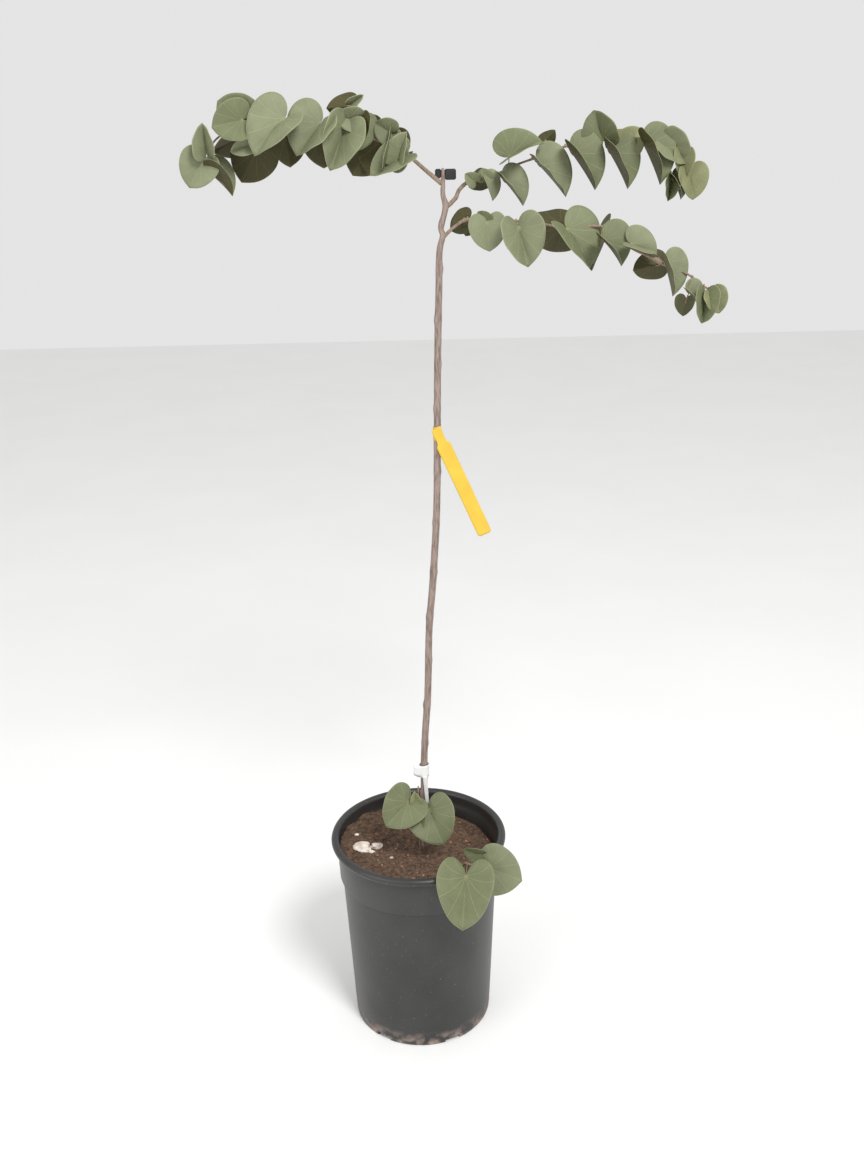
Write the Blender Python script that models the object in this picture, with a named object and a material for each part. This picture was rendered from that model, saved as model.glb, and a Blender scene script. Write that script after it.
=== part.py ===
import math

import bmesh
import bpy
from mathutils import Vector

# Western redbud in a nursery pot, in metres. The pot's axis is world Z, its flat
# underside is z = 0, and the plant's broad side faces -Y with +X to the right.

# Clearance between pieces that touch
GAP = 0.0003

# Pot
POT_HEIGHT = 0.309
POT_SIDES = 30
BEAD_CENTRE = 0.124
BEAD_RADIUS = 0.006
BASE_RADIUS = 0.1043
BASE_CHAMFER = 0.003
BASE_THICK = 0.004
WALL = 0.0022
STEP_Z = 0.245
STEP_RISE = 0.003
BELOW_STEP = 0.1155
ABOVE_STEP = 0.1195
NECK_RADIUS = 0.1208
DRAIN_COUNT = 6
DRAIN_TURN = math.radians(-64.5)
DRAIN_WIDTH = 0.024
DRAIN_HEIGHT = 0.007
DRAIN_DEPTH = 0.014

# Soil
SOIL_Z = 0.279
SOIL_FALL = 0.12
SOIL_FLAT = 0.028
SOIL_WAVE = 0.0022
SOIL_RINGS = (0.012, 0.028, 0.050, 0.075, 0.096)

# Trunk: x, height and radius at y = TRUNK_Y, from the flare at the soil to the cut leader
TRUNK_Y = 0.010
TRUNK_SIDES = 10
TRUNK = (
    (0.0085, SOIL_Z + GAP, 0.0078),
    (0.0088, 0.290, 0.0064),
    (0.0095, 0.330, 0.0056),
    (0.0121, 0.438, 0.0050),
    (0.0192, 0.532, 0.0050),
    (0.0236, 0.635, 0.0049),
    (0.0303, 0.705, 0.0049),
    (0.0376, 0.809, 0.0048),
    (0.0407, 0.926, 0.0047),
    (0.0432, 1.022, 0.0046),
    (0.0463, 1.102, 0.0044),
    (0.0478, 1.148, 0.0041),
    (0.0524, 1.168, 0.0037),
    (0.0505, 1.178, 0.0034),
    (0.0562, 1.202, 0.0036),
    (0.0535, 1.218, 0.0030),
    (0.0539, 1.231, 0.0027),
    (0.0540, 1.249, 0.0019),
)

# Boughs in millimetres from their fork: x, y, z and radius. Past the mark the bough has
# entered its tip mass, which carries the rest of the line as its own core.
MM = 0.001
BOUGH_STEP = 0.012
BOUGH_SIDES = 6
BOUGHS = {
    "left_bough": {
        "fork": (0.052, 0.010, 1.231),
        "tip_from": 0.245,
        "line": (
            (0, 0, 0, 3.0),
            (-17, -2, 14, 2.6),
            (-42, -8, 35, 2.2),
            (-74, -13, 52, 1.9),
            (-108, -18, 63, 1.8),
            (-138, -20, 69, 1.7),
            (-188, -18, 70, 1.5),
            (-230, -12, 67, 1.3),
            (-264, -6, 63, 1.2),
            (-281, -4, 50, 1.1),
            (-290, -3, 35, 1.0),
            (-284, -2, 18, 0.9),
        ),
    },
    "upper_bough": {
        "fork": (0.058, 0.010, 1.203),
        "tip_from": 0.262,
        "line": (
            (0, 0, 0, 2.8),
            (11, 2, 10, 2.7),
            (16, 3, 20, 2.5),
            (27, 5, 29, 2.3),
            (37, 6, 32, 2.0),
            (63, 10, 37, 1.8),
            (84, 14, 46, 1.5),
            (112, 19, 55, 1.3),
            (155, 25, 69, 1.3),
            (195, 30, 74, 1.2),
            (244, 36, 73, 1.2),
            (275, 40, 71, 1.1),
            (294, 41, 60, 1.0),
            (310, 44, 33, 0.9),
        ),
    },
    "lower_bough": {
        "fork": (0.054, 0.010, 1.167),
        "tip_from": 0.262,
        "line": (
            (0, 0, 0, 2.3),
            (13, -4, 12, 2.0),
            (30, -7, 21, 1.8),
            (61, -13, 20, 1.6),
            (110, -24, 17, 1.5),
            (147, -32, 11, 1.5),
            (192, -42, 12, 1.5),
            (212, -46, 0, 1.5),
            (229, -50, -14, 1.7),
            (247, -54, -22, 2.4),
            (262, -57, -30, 2.4),
            (272, -60, -36, 1.3),
            (296, -64, -45, 1.2),
            (313, -68, -58, 1.1),
            (328, -71, -65, 0.9),
        ),
    },
    "foot_shoot": {
        "fork": (0.003, -0.004, SOIL_Z + GAP),
        "tip_from": 0.068,
        "line": (
            (0, 0, 0, 1.7),
            (-1, -4, 36, 1.5),
            (-2, -8, 71, 1.4),
            (-1, -8, 113, 1.1),
        ),
    },
    "rim_shoot": {
        "fork": (0.050, -0.050, 0.2735),
        "tip_from": 0.062,
        "line": (
            (0, 0, 0, 2.0),
            (9, -28, 20, 1.9),
            (17, -41, 37.5, 1.8),
            (25, -48, 40, 1.8),
            (36, -43, 41, 1.7),
            (45, -37, 42, 1.5),
        ),
    },
}

# Foliage masses. Every row is one folded blade: its joint and its length along the midrib
# in millimetres from the fork, then roll and opening in degrees and breadth. Roll 90 turns
# the upper face to the front, -90 the underside.
SLEEVE_WALL = 0.0022
SLEEVE_END = 0.004
STALK_RADIUS = 0.0016
STALK_SIDES = 4
MIDRIB_REACH = 0.27
BLADE_CLEAR = 0.0075
BLADE_THICK = 0.0032
BLADE_THIN = 0.0012
BLADE_RING = 0.55
BLADE_OUTLINE = ((0, 1.0), (44, 0.80), (90, 0.68), (140, 0.40))
MASSES = {
    "left_mass_1": ("left_bough", (
        ((-52, -28, 31), (11, -4, 30), 70, 80, 1.0),
        ((-63, -6, 32), (6, 0, 41), 96, 50, 1.0),
        ((-46, -22, 34), (-41, -4, -21), 96, 43, 1.0),
        ((-68, -1, 58), (-22, 0, -46), -90, 120, 1.0),
        ((-84, 8, 51), (-26, 0, -40), -90, 150, 1.0),
    )),
    "left_mass_2": ("left_bough", (
        ((-99, -24, 76), (-11, -4, -34), 18, 36, 1.0),
        ((-100, -14, 76), (-26, 0, 5), 90, 95, 1.0),
        ((-109, -2, 92), (-29, 0, -2), -90, 100, 1.0),
        ((-115, -25, 68), (-20, -6, -49), 84, 61, 1.0),
    )),
    "left_mass_3": ("left_bough", (
        ((-143, -26, 74), (-31, -8, -37), 130, 100, 1.17),
        ((-144, -8, 66), (0, 0, -45), -90, 130, 1.0),
        ((-186, -35, 79), (-38, -6, -41), 129, 110, 1.0),
        ((-189, -8, 65), (4, 0, -42), -90, 110, 1.0),
    )),
    "left_mass_4": ("left_bough", (
        ((-235, -4, 80), (-32, 6, 21), 90, 140, 1.0),
        ((-240, -17, 79), (-35, 0, -8), 100, 160, 1.0),
        ((-286, 0, 44), (-2, 0, 33), 90, 60, 1.0),
        ((-291, -7, 34), (-19, 0, -32), 95, 125, 1.0),
        ((-285, -2, 19), (27, 0, -28), 15, 40, 1.0),
        ((-227, 8, 44), (-21, 4, -38), -90, 150, 1.0),
        ((-233, 2, 64), (-49, 0, -21), -80, 70, 0.9),
    )),
    "upper_mass_1": ("upper_bough", (
        ((47, 15, 32), (-19, 0, -10), -90, 120, 1.0),
        ((47, 3, 32), (10, -2, -26), 33, 96, 1.0),
        ((71, 5, 30), (24, -4, -31), 35, 70, 1.0),
    )),
    "upper_mass_2": ("upper_bough", (
        ((78, 10, 57), (43, 0, 15), 38, 77, 1.0),
        ((123, 27, 73), (14, 0, 14), -100, 90, 1.0),
        ((115, 13, 47), (34, -4, -39), 35, 90, 1.0),
        ((156, 21, 60), (30, -4, -45), 35, 71, 1.0),
    )),
    "upper_mass_3": ("upper_bough", (
        ((196, 38, 76), (-12, 6, 35), -80, 110, 1.0),
        ((203, 25, 61), (23, 0, -46), 31, 63, 0.9),
        ((225, 46, 66), (19, 4, 21), 90, 140, 1.0),
    )),
    "upper_mass_4": ("upper_bough", (
        ((250, 26, 69), (21, -6, -50), 33, 66, 0.9),
        ((276, 48, 69), (29, 2, -25), 80, 80, 1.0),
        ((298, 52, 54), (1, 0, -29), 90, 70, 1.0),
        ((286, 38, 26), (12, 0, -26), 35, 80, 1.0),
        ((286, 50, 26), (-4, 0, -28), 90, 45, 1.0),
        ((308, 46, 33), (6, 0, -34), 75, 95, 1.0),
    )),
    "lower_mass_1": ("lower_bough", (
        ((31, 3, 20), (-23, 0, -13), -90, 110, 1.0),
        ((35, -4, 17), (-8, 0, -17), -90, 120, 1.0),
        ((53, -20, 18), (3, -4, -35), 90, 130, 1.0),
    )),
    "lower_mass_2": ("lower_bough", (
        ((91, -28, 12), (12, -6, -48), 75, 72, 1.0),
        ((150, -21, 12), (-56, 0, 4), -72, 83, 1.0),
        ((149, -41, 10), (29, -4, -47), 44, 107, 1.0),
    )),
    "lower_mass_3": ("lower_bough", (
        ((192, -25, 8), (-8, 4, -52), -100, 60, 1.0),
        ((192, -50, -3), (24, -2, -32), 37, 74, 1.25),
        ((226, -55, -8), (32, 0, -14), 40, 80, 1.0),
    )),
    "lower_mass_4": ("lower_bough", (
        ((263, -51, -35), (-32, 0, -6), -90, 100, 1.0),
        ((266, -64, -30), (12, 0, -41), 30, 90, 1.0),
        ((293, -74, -63), (15, 0, -18), 35, 90, 1.25),
        ((315, -73, -67), (-2, 0, -36), 90, 60, 1.0),
        ((323, -66, -67), (11, 0, -24), 70, 95, 1.0),
        ((297, -60, -77), (-3, 0, -20), -90, 110, 1.0),
    )),
    "foot_mass": ("foot_shoot", (
        ((-15, -4, 93), (-34, -22, -29), 120, 130, 1.0),
        ((14, -14, 80), (19, -26, -45), 80, 130, 1.0),
        ((-10, -20, 78), (-2, -8, -29), 80, 70, 0.8),
    )),
    "rim_mass": ("rim_shoot", (
        ((19, -70, 37.5), (-5, -44, -58), 90, 150, 1.0),
        ((49, -52, 33), (47, -17, -14), 90, 150, 1.0),
        ((39, -40, 57), (-24, 8, 6), 90, 120, 0.9),
    )),
}

# Hanging label, foot band and top clip
COLLAR_SIDES = 16
LABEL_Z = 0.915
LABEL_COLLAR = (0.0062, 0.019)
LABEL_HEAD = (0.0385, 0.922)
LABEL_SLOPE = math.radians(23.7)
LABEL_FRONT = 0.0033
LABEL_THICK = 0.0010
LABEL_NECK = (0.0065, 0.020)
LABEL_STRIP = (0.00975, 0.160)
LABEL_CORNER = 0.003
BAND_Z = 0.407
BAND_COLLAR = (0.0078, 0.020)
BAND_FLAG = (-0.0155, -0.004, 0.0095)
BAND_TAIL = (0.0070, 0.044, 0.0010)
CLIP_X = (0.0440, 0.0704)
CLIP_Y = (0.0092, 0.0165)
CLIP_Z = (1.2345, 1.2485)

# Colour, roughness and metallic value of each material
FINISHES = {
    "pot": ((0.035, 0.033, 0.031), 0.55, 0.0),
    "soil": ((0.120, 0.070, 0.040), 0.95, 0.0),
    "bark": ((0.260, 0.190, 0.150), 0.80, 0.0),
    "leaf": ((0.240, 0.290, 0.140), 0.60, 0.0),
    "label": ((0.900, 0.680, 0.060), 0.45, 0.0),
    "band": ((0.820, 0.820, 0.800), 0.50, 0.0),
    "clip": ((0.015, 0.015, 0.016), 0.40, 0.0),
}


def clear_scene():
    for item in list(bpy.data.objects):
        bpy.data.objects.remove(item, do_unlink=True)


def finish(name, kind):
    colour, roughness, metallic = FINISHES[kind]
    material = bpy.data.materials.new(name + "_finish")
    material.use_nodes = True
    shader = material.node_tree.nodes["Principled BSDF"]
    shader.inputs["Base Color"].default_value = (*colour, 1.0)
    shader.inputs["Roughness"].default_value = roughness
    shader.inputs["Metallic"].default_value = metallic
    return material


def add_object(name, mesh):
    item = bpy.data.objects.new(name, mesh)
    bpy.context.scene.collection.objects.link(item)
    return item


def from_faces(name, points, faces):
    mesh = bpy.data.meshes.new(name)
    mesh.from_pydata([tuple(point) for point in points], [], faces)
    work = bmesh.new()
    work.from_mesh(mesh)
    bmesh.ops.recalc_face_normals(work, faces=work.faces)
    work.to_mesh(mesh)
    work.free()
    return add_object(name, mesh)


def combine(base, tools, operation):
    # Cuts or joins the tools one after another, then drops them
    for tool in tools:
        step = base.modifiers.new(operation.lower(), "BOOLEAN")
        step.operation = operation
        step.solver = "EXACT"
        step.object = tool
    graph = bpy.context.evaluated_depsgraph_get()
    graph.update()
    mesh = bpy.data.meshes.new_from_object(base.evaluated_get(graph))
    base.modifiers.clear()
    base.data = mesh
    return base


def drop(items):
    for item in items:
        bpy.data.objects.remove(item, do_unlink=True)


def complete(item, kind, smooth=True):
    item.data.materials.clear()
    item.data.materials.append(finish(item.name, kind))
    if smooth:
        item.data.shade_smooth()
        item.data.set_sharp_from_angle(angle=math.radians(40))
    return item


# Curved lines and tubes


def smooth_line(points, step):
    # A Catmull-Rom curve through the points, as (position, radius) about every step
    padded = [points[0]] + list(points) + [points[-1]]
    samples = []
    for a, b, c, d in zip(padded, padded[1:], padded[2:], padded[3:]):
        span = (Vector(c[:3]) - Vector(b[:3])).length
        count = max(1, round(span / step))
        for index in range(count):
            t = index / count
            values = [
                0.5 * (2 * q + (r - p) * t + (2 * p - 5 * q + 4 * r - s) * t ** 2
                       + (3 * q - p - 3 * r + s) * t ** 3)
                for p, q, r, s in zip(a, b, c, d)
            ]
            samples.append((Vector(values[:3]), values[3]))
    samples.append((Vector(points[-1][:3]), points[-1][3]))
    return samples


def with_frames(samples):
    # Carries one side direction along the line without twisting it
    places = [place for place, _ in samples]
    side = Vector((0, 1, 0))
    framed = []
    for index, (place, radius) in enumerate(samples):
        ahead = places[min(index + 1, len(places) - 1)] - places[max(index - 1, 0)]
        ahead.normalize()
        side = (side - ahead * side.dot(ahead)).normalized()
        framed.append((place, radius, side, ahead.cross(side)))
    return framed


def tube(name, framed, sides, extra=0.0, first_flat=False):
    points = []
    for index, (place, radius, side, other) in enumerate(framed):
        if first_flat and index == 0:
            side, other = Vector((0, 1, 0)), Vector((-1, 0, 0))
        for k in range(sides):
            turn = math.tau * k / sides
            points.append(place + (side * math.cos(turn) + other * math.sin(turn)) * (radius + extra))
    faces = [tuple(range(sides))[::-1]]
    for ring in range(len(framed) - 1):
        for k in range(sides):
            a = ring * sides + k
            b = ring * sides + (k + 1) % sides
            faces.append((a, b, b + sides, a + sides))
    last = (len(framed) - 1) * sides
    faces.append(tuple(range(last, last + sides)))
    return from_faces(name, points, faces)


def rod(start, end, radius, sides):
    ahead = (end - start).normalized()
    side = ahead.orthogonal().normalized()
    framed = [(place, radius, side, ahead.cross(side)) for place in (start, end)]
    return tube("rod", framed, sides)


def box(name, low, high):
    points = [(x, y, z) for x in (low[0], high[0]) for y in (low[1], high[1]) for z in (low[2], high[2])]
    faces = [(0, 1, 3, 2), (4, 6, 7, 5), (0, 4, 5, 1), (2, 3, 7, 6), (0, 2, 6, 4), (1, 5, 7, 3)]
    return from_faces(name, points, faces)


# Pot and soil


def pot_inner(z):
    # Radius of the pot's inner face at a height
    low = (BASE_THICK, BASE_RADIUS - WALL)
    step = (STEP_Z, BELOW_STEP - WALL)
    shelf = (STEP_Z + STEP_RISE, ABOVE_STEP - WALL)
    neck = (POT_HEIGHT - 2 * BEAD_RADIUS, NECK_RADIUS - WALL)
    marks = (low, step, shelf, neck)
    for (z0, r0), (z1, r1) in zip(marks, marks[1:]):
        if z <= z1:
            return r0 + (r1 - r0) * (z - z0) / (z1 - z0)
    return neck[1]


def lathe(name, profile, sides):
    # Turns a profile about Z; it starts and ends on the axis
    points = [(0, 0, profile[0][1]), (0, 0, profile[-1][1])]
    rings = profile[1:-1]
    for radius, z in rings:
        for k in range(sides):
            turn = math.tau * k / sides
            points.append((radius * math.cos(turn), radius * math.sin(turn), z))
    faces = []
    for k in range(sides):
        n = (k + 1) % sides
        faces.append((0, 2 + n, 2 + k))
        for ring in range(len(rings) - 1):
            a = 2 + ring * sides
            faces.append((a + k, a + n, a + n + sides, a + k + sides))
        last = 2 + (len(rings) - 1) * sides
        faces.append((1, last + k, last + n))
    return from_faces(name, points, faces)


def make_pot():
    bead_z = POT_HEIGHT - BEAD_RADIUS
    bead = []
    for degrees in range(-105, 196, 50):
        turn = math.radians(degrees)
        bead.append((BEAD_CENTRE + BEAD_RADIUS * math.cos(turn), bead_z + BEAD_RADIUS * math.sin(turn)))
    neck_z = POT_HEIGHT - 2 * BEAD_RADIUS
    profile = [
        (0, 0),
        (BASE_RADIUS - BASE_CHAMFER, 0),
        (BASE_RADIUS, BASE_CHAMFER),
        (BELOW_STEP, STEP_Z - STEP_RISE),
        (ABOVE_STEP, STEP_Z),
        (NECK_RADIUS, neck_z),
        *bead,
        (pot_inner(neck_z), neck_z),
        (pot_inner(STEP_Z + STEP_RISE), STEP_Z + STEP_RISE),
        (pot_inner(STEP_Z), STEP_Z),
        (pot_inner(BASE_THICK), BASE_THICK),
        (0, BASE_THICK),
    ]
    pot = lathe("pot", profile, POT_SIDES)
    cutters = []
    for k in range(DRAIN_COUNT):
        turn = DRAIN_TURN + math.tau * k / DRAIN_COUNT
        outward = Vector((math.cos(turn), math.sin(turn), 0))
        across = Vector((-math.sin(turn), math.cos(turn), 0))
        reach = (BASE_RADIUS - DRAIN_DEPTH, BASE_RADIUS + DRAIN_DEPTH)
        points = []
        for r in reach:
            for side in (-DRAIN_WIDTH / 2, DRAIN_WIDTH / 2):
                for z in (-DRAIN_HEIGHT, DRAIN_HEIGHT):
                    points.append(outward * r + across * side + Vector((0, 0, z)))
        faces = [(0, 1, 3, 2), (4, 6, 7, 5), (0, 4, 5, 1), (2, 3, 7, 6), (0, 2, 6, 4), (1, 5, 7, 3)]
        cutters.append(from_faces("drain", points, faces))
    combine(pot, cutters, "DIFFERENCE")
    drop(cutters)
    return complete(pot, "pot")


def soil_height(x, y):
    # Level round the stems, higher to the left and lower to the right, gently uneven
    radius = math.hypot(x, y)
    away = min(1.0, max(0.0, (radius - SOIL_FLAT) / SOIL_FLAT))
    wave = math.sin(61 * x + 0.8) * math.cos(73 * y - 0.4) + 0.6 * math.sin(128 * y + 97 * x)
    return SOIL_Z + away * (SOIL_WAVE * wave - SOIL_FALL * x)


def make_soil():
    floor_z = BASE_THICK + GAP
    walls = (floor_z, STEP_Z, STEP_Z + STEP_RISE)
    points = [(0, 0, floor_z), (0, 0, SOIL_Z)]
    rows = len(walls) + 1 + len(SOIL_RINGS)
    for k in range(POT_SIDES):
        turn = math.tau * k / POT_SIDES
        c, s = math.cos(turn), math.sin(turn)
        for z in walls:
            r = pot_inner(z) - GAP
            points.append((r * c, r * s, z))
        edge = pot_inner(SOIL_Z) - GAP
        top = soil_height(edge * c, edge * s)
        r = pot_inner(top) - GAP
        points.append((r * c, r * s, top))
        for r in reversed(SOIL_RINGS):
            points.append((r * c, r * s, soil_height(r * c, r * s)))
    faces = []
    for k in range(POT_SIDES):
        a = 2 + k * rows
        b = 2 + ((k + 1) % POT_SIDES) * rows
        faces.append((0, b, a))
        for row in range(rows - 1):
            faces.append((a + row, b + row, b + row + 1, a + row + 1))
        faces.append((a + rows - 1, b + rows - 1, 1))
    soil = from_faces("root_ball", points, faces)
    return complete(soil, "soil")


# Trunk and boughs


def trunk_line():
    points = [(x, TRUNK_Y, z, radius) for x, z, radius in TRUNK]
    return with_frames(smooth_line(points, 0.030))


def bough_line(name):
    plan = BOUGHS[name]
    fork = Vector(plan["fork"])
    points = [
        (fork.x + x * MM, fork.y + y * MM, fork.z + z * MM, radius * MM)
        for x, y, z, radius in plan["line"]
    ]
    return with_frames(smooth_line(points, BOUGH_STEP))


def tip_index(name, framed):
    # The ring at which the bough enters its tip mass
    run = 0.0
    for index in range(1, len(framed)):
        run += (framed[index][0] - framed[index - 1][0]).length
        if run >= BOUGHS[name]["tip_from"]:
            return index
    return len(framed) - 1


def moved(ring, distance):
    place, radius, side, other = ring
    return (place + side.cross(other) * distance, radius, side, other)


def make_bough(name, framed, trunk_cutter):
    entry = tip_index(name, framed)
    rests_on_soil = name in ("foot_shoot", "rim_shoot")
    bough = tube(name, framed[:entry + 1], BOUGH_SIDES, first_flat=rests_on_soil)
    if not rests_on_soil:
        combine(bough, [trunk_cutter], "DIFFERENCE")
    return complete(bough, "bark")


# Foliage


def blade(joint, length, roll, opening, breadth):
    # A leaf folded along its midrib, as a lens-shaped pad with a sharp rim
    along = length.normalized()
    reach = length.length
    side = Vector((0, -1, 0)).cross(along).normalized()
    front = along.cross(side)
    halves = []
    for sign in (1, -1):
        turn = math.radians(roll + sign * opening / 2)
        halves.append(side * math.cos(turn) + front * math.sin(turn))
    normals = [along.cross(halves[0]), halves[1].cross(along)]
    middle = (normals[0] + normals[1]).normalized()
    inner_side = BLADE_RING * reach * 0.5 * math.sin(math.radians(opening / 2))
    thick = max(BLADE_THIN, min(BLADE_THICK, inner_side)) / 2
    points = [joint, joint + length]
    fronts = {}
    backs = {}
    rims = {}
    points.append(joint + length * BLADE_RING + middle * thick)
    points.append(joint + length * BLADE_RING - middle * thick)
    for half, outward in enumerate(halves):
        for ray, (degrees, size) in enumerate(BLADE_OUTLINE):
            if ray == 0:
                rims[half, ray], fronts[half, ray], backs[half, ray] = 1, 2, 3
                continue
            turn = math.radians(degrees)
            arm = along * math.cos(turn) + outward * math.sin(turn) * breadth
            rim = joint + arm * reach * size
            ring = joint + arm * reach * size * BLADE_RING
            rims[half, ray] = len(points)
            points.append(rim)
            fronts[half, ray] = len(points)
            points.append(ring + normals[half] * thick)
            backs[half, ray] = len(points)
            points.append(ring - normals[half] * thick)
    faces = []
    rays = len(BLADE_OUTLINE)
    for half in (0, 1):
        for inner in (fronts, backs):
            for ray in range(rays - 1):
                a, b = inner[half, ray], inner[half, ray + 1]
                faces.append((0, a, b))
                faces.append((a, rims[half, ray], rims[half, ray + 1]))
                faces.append((a, rims[half, ray + 1], b))
            faces.append((0, inner[half, rays - 1], rims[half, rays - 1]))
    return from_faces("blade", points, faces)


def nearest_ring(framed, place):
    return min(range(len(framed)), key=lambda index: (framed[index][0] - place).length)


def clear_depth(depth, bough_depth, roll):
    # Blades facing the front hang before their bough, the others behind it
    if math.sin(math.radians(roll)) > 0:
        return min(depth, bough_depth - BLADE_CLEAR)
    return max(depth, bough_depth + BLADE_CLEAR)


def make_mass(name, framed, cutter):
    bough, rows = MASSES[name]
    fork = Vector(BOUGHS[bough]["fork"])
    entry = tip_index(bough, framed)
    parts = []
    roots = [nearest_ring(framed, fork + Vector(row[0]) * MM) for row in rows]
    is_tip = max(roots) > entry
    if is_tip:
        roots = [max(root, entry + 1) for root in roots]
    for root, (joint, length, roll, opening, breadth) in zip(roots, rows):
        joint = fork + Vector(joint) * MM
        length = Vector(length) * MM
        joint.y = clear_depth(joint.y, framed[root][0].y, roll)
        parts.append(blade(joint, length, roll, opening, breadth))
        parts.append(rod(framed[root][0], joint + length * MIDRIB_REACH, STALK_RADIUS, STALK_SIDES))
    if is_tip:
        rings = [moved(framed[entry], GAP)] + framed[entry + 1:]
        core = tube(name, rings, BOUGH_SIDES, extra=SLEEVE_WALL / 2)
    else:
        first, last = min(roots), max(roots)
        rings = [moved(framed[first], -SLEEVE_END)] + framed[first:last + 1]
        rings.append(moved(framed[last], SLEEVE_END))
        core = tube(name, rings, BOUGH_SIDES, extra=SLEEVE_WALL)
    combine(core, parts, "UNION")
    drop(parts)
    if not is_tip:
        combine(core, [cutter], "DIFFERENCE")
    return complete(core, "leaf", smooth=False)


# Label, band and clip


def collar(name, centre, radius, height):
    ring = [(centre - Vector((0, 0, height / 2)), radius, Vector((1, 0, 0)), Vector((0, 1, 0)))]
    ring.append((centre + Vector((0, 0, height / 2)), radius, Vector((1, 0, 0)), Vector((0, 1, 0))))
    return tube(name, ring, COLLAR_SIDES)


def trunk_x(z):
    for (x0, z0, _), (x1, z1, _) in zip(TRUNK, TRUNK[1:]):
        if z0 <= z <= z1:
            return x0 + (x1 - x0) * (z - z0) / (z1 - z0)
    return TRUNK[-1][0]


def make_label(trunk_cutter):
    radius, height = LABEL_COLLAR
    label = collar("label", Vector((trunk_x(LABEL_Z), TRUNK_Y, LABEL_Z)), radius, height)
    neck_half, neck_end = LABEL_NECK
    strip_half, strip_end = LABEL_STRIP
    outline = [(-neck_half, 0), (-neck_half, neck_end), (-strip_half, neck_end + strip_half / 2)]
    for start in (180, 90):
        for k in range(4):
            turn = math.radians(start - 30 * k)
            centre = -1 if start == 180 else 1
            outline.append((
                centre * (strip_half - LABEL_CORNER) + LABEL_CORNER * math.cos(turn),
                strip_end - LABEL_CORNER + LABEL_CORNER * math.sin(turn),
            ))
    outline += [(strip_half, neck_end + strip_half / 2), (neck_half, neck_end), (neck_half, 0)]
    down = Vector((math.sin(LABEL_SLOPE), 0, -math.cos(LABEL_SLOPE)))
    across = Vector((math.cos(LABEL_SLOPE), 0, math.sin(LABEL_SLOPE)))
    head = Vector((LABEL_HEAD[0], LABEL_FRONT, LABEL_HEAD[1]))
    points = []
    for depth in (0, LABEL_THICK):
        points += [head + across * a + down * b + Vector((0, depth, 0)) for a, b in outline]
    count = len(outline)
    faces = [tuple(range(count)), tuple(range(2 * count - 1, count - 1, -1))]
    faces += [(k, k + count, (k + 1) % count + count, (k + 1) % count) for k in range(count)]
    plate = from_faces("plate", points, faces)
    combine(label, [plate], "UNION")
    combine(label, [trunk_cutter], "DIFFERENCE")
    drop([plate])
    return complete(label, "label", smooth=False)


def make_band(trunk_cutter):
    radius, height = BAND_COLLAR
    x = trunk_x(BAND_Z)
    band = collar("band", Vector((x, TRUNK_Y, BAND_Z)), radius, height)
    left, right, half = BAND_FLAG
    front = TRUNK_Y - radius + BAND_TAIL[2]
    flag = box("flag", (x + left, front, BAND_Z - half), (x + right, front + BAND_TAIL[2], BAND_Z + half))
    width, drop_length, thick = BAND_TAIL
    bottom = BAND_Z - height / 2 - drop_length + half
    tail = box("tail", (x - width / 3, front - thick / 2, bottom), (x + width * 2 / 3, front + thick / 2, BAND_Z))
    combine(band, [flag, tail], "UNION")
    combine(band, [trunk_cutter], "DIFFERENCE")
    drop([flag, tail])
    return complete(band, "band", smooth=False)


def make_clip(cutters):
    clip = box("clip", (CLIP_X[0], CLIP_Y[0], CLIP_Z[0]), (CLIP_X[1], CLIP_Y[1], CLIP_Z[1]))
    combine(clip, cutters, "DIFFERENCE")
    return complete(clip, "clip", smooth=False)


def build():
    clear_scene()
    make_pot()
    make_soil()
    trunk = trunk_line()
    complete(tube("trunk", trunk, TRUNK_SIDES, first_flat=True), "bark")
    trunk_cutter = tube("trunk_cutter", trunk, TRUNK_SIDES, extra=GAP)
    lines = {name: bough_line(name) for name in BOUGHS}
    cutters = {name: tube(name + "_cutter", lines[name], BOUGH_SIDES, extra=GAP) for name in BOUGHS}
    for name in BOUGHS:
        make_bough(name, lines[name], trunk_cutter)
    for name, (bough, _) in MASSES.items():
        make_mass(name, lines[bough], cutters[bough])
    make_label(trunk_cutter)
    make_band(trunk_cutter)
    make_clip([trunk_cutter, cutters["left_bough"], cutters["upper_bough"]])
    drop([trunk_cutter] + list(cutters.values()))


build()
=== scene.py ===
import math
import random

import bmesh
import bpy
from mathutils import Matrix, Vector, noise


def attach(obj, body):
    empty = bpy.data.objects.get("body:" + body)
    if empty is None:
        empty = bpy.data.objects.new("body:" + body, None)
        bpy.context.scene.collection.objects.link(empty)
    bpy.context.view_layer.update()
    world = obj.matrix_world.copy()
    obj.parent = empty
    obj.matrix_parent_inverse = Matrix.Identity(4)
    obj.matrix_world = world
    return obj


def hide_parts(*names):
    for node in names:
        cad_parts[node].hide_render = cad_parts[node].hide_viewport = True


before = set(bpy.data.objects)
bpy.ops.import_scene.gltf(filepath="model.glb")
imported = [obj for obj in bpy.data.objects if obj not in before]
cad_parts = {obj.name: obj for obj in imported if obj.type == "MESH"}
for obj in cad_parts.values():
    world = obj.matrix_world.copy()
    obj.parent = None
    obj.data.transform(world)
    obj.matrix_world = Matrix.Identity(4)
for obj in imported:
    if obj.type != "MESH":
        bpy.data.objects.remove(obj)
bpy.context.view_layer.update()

mm = 0.001
lineStep = 2.2 * mm  # distance between the rings of every stem and stalk
startCap = 0.3       # how far a tube's ends stand out, as shares of their radius
endCap = 0.5


# Small helpers


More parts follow.
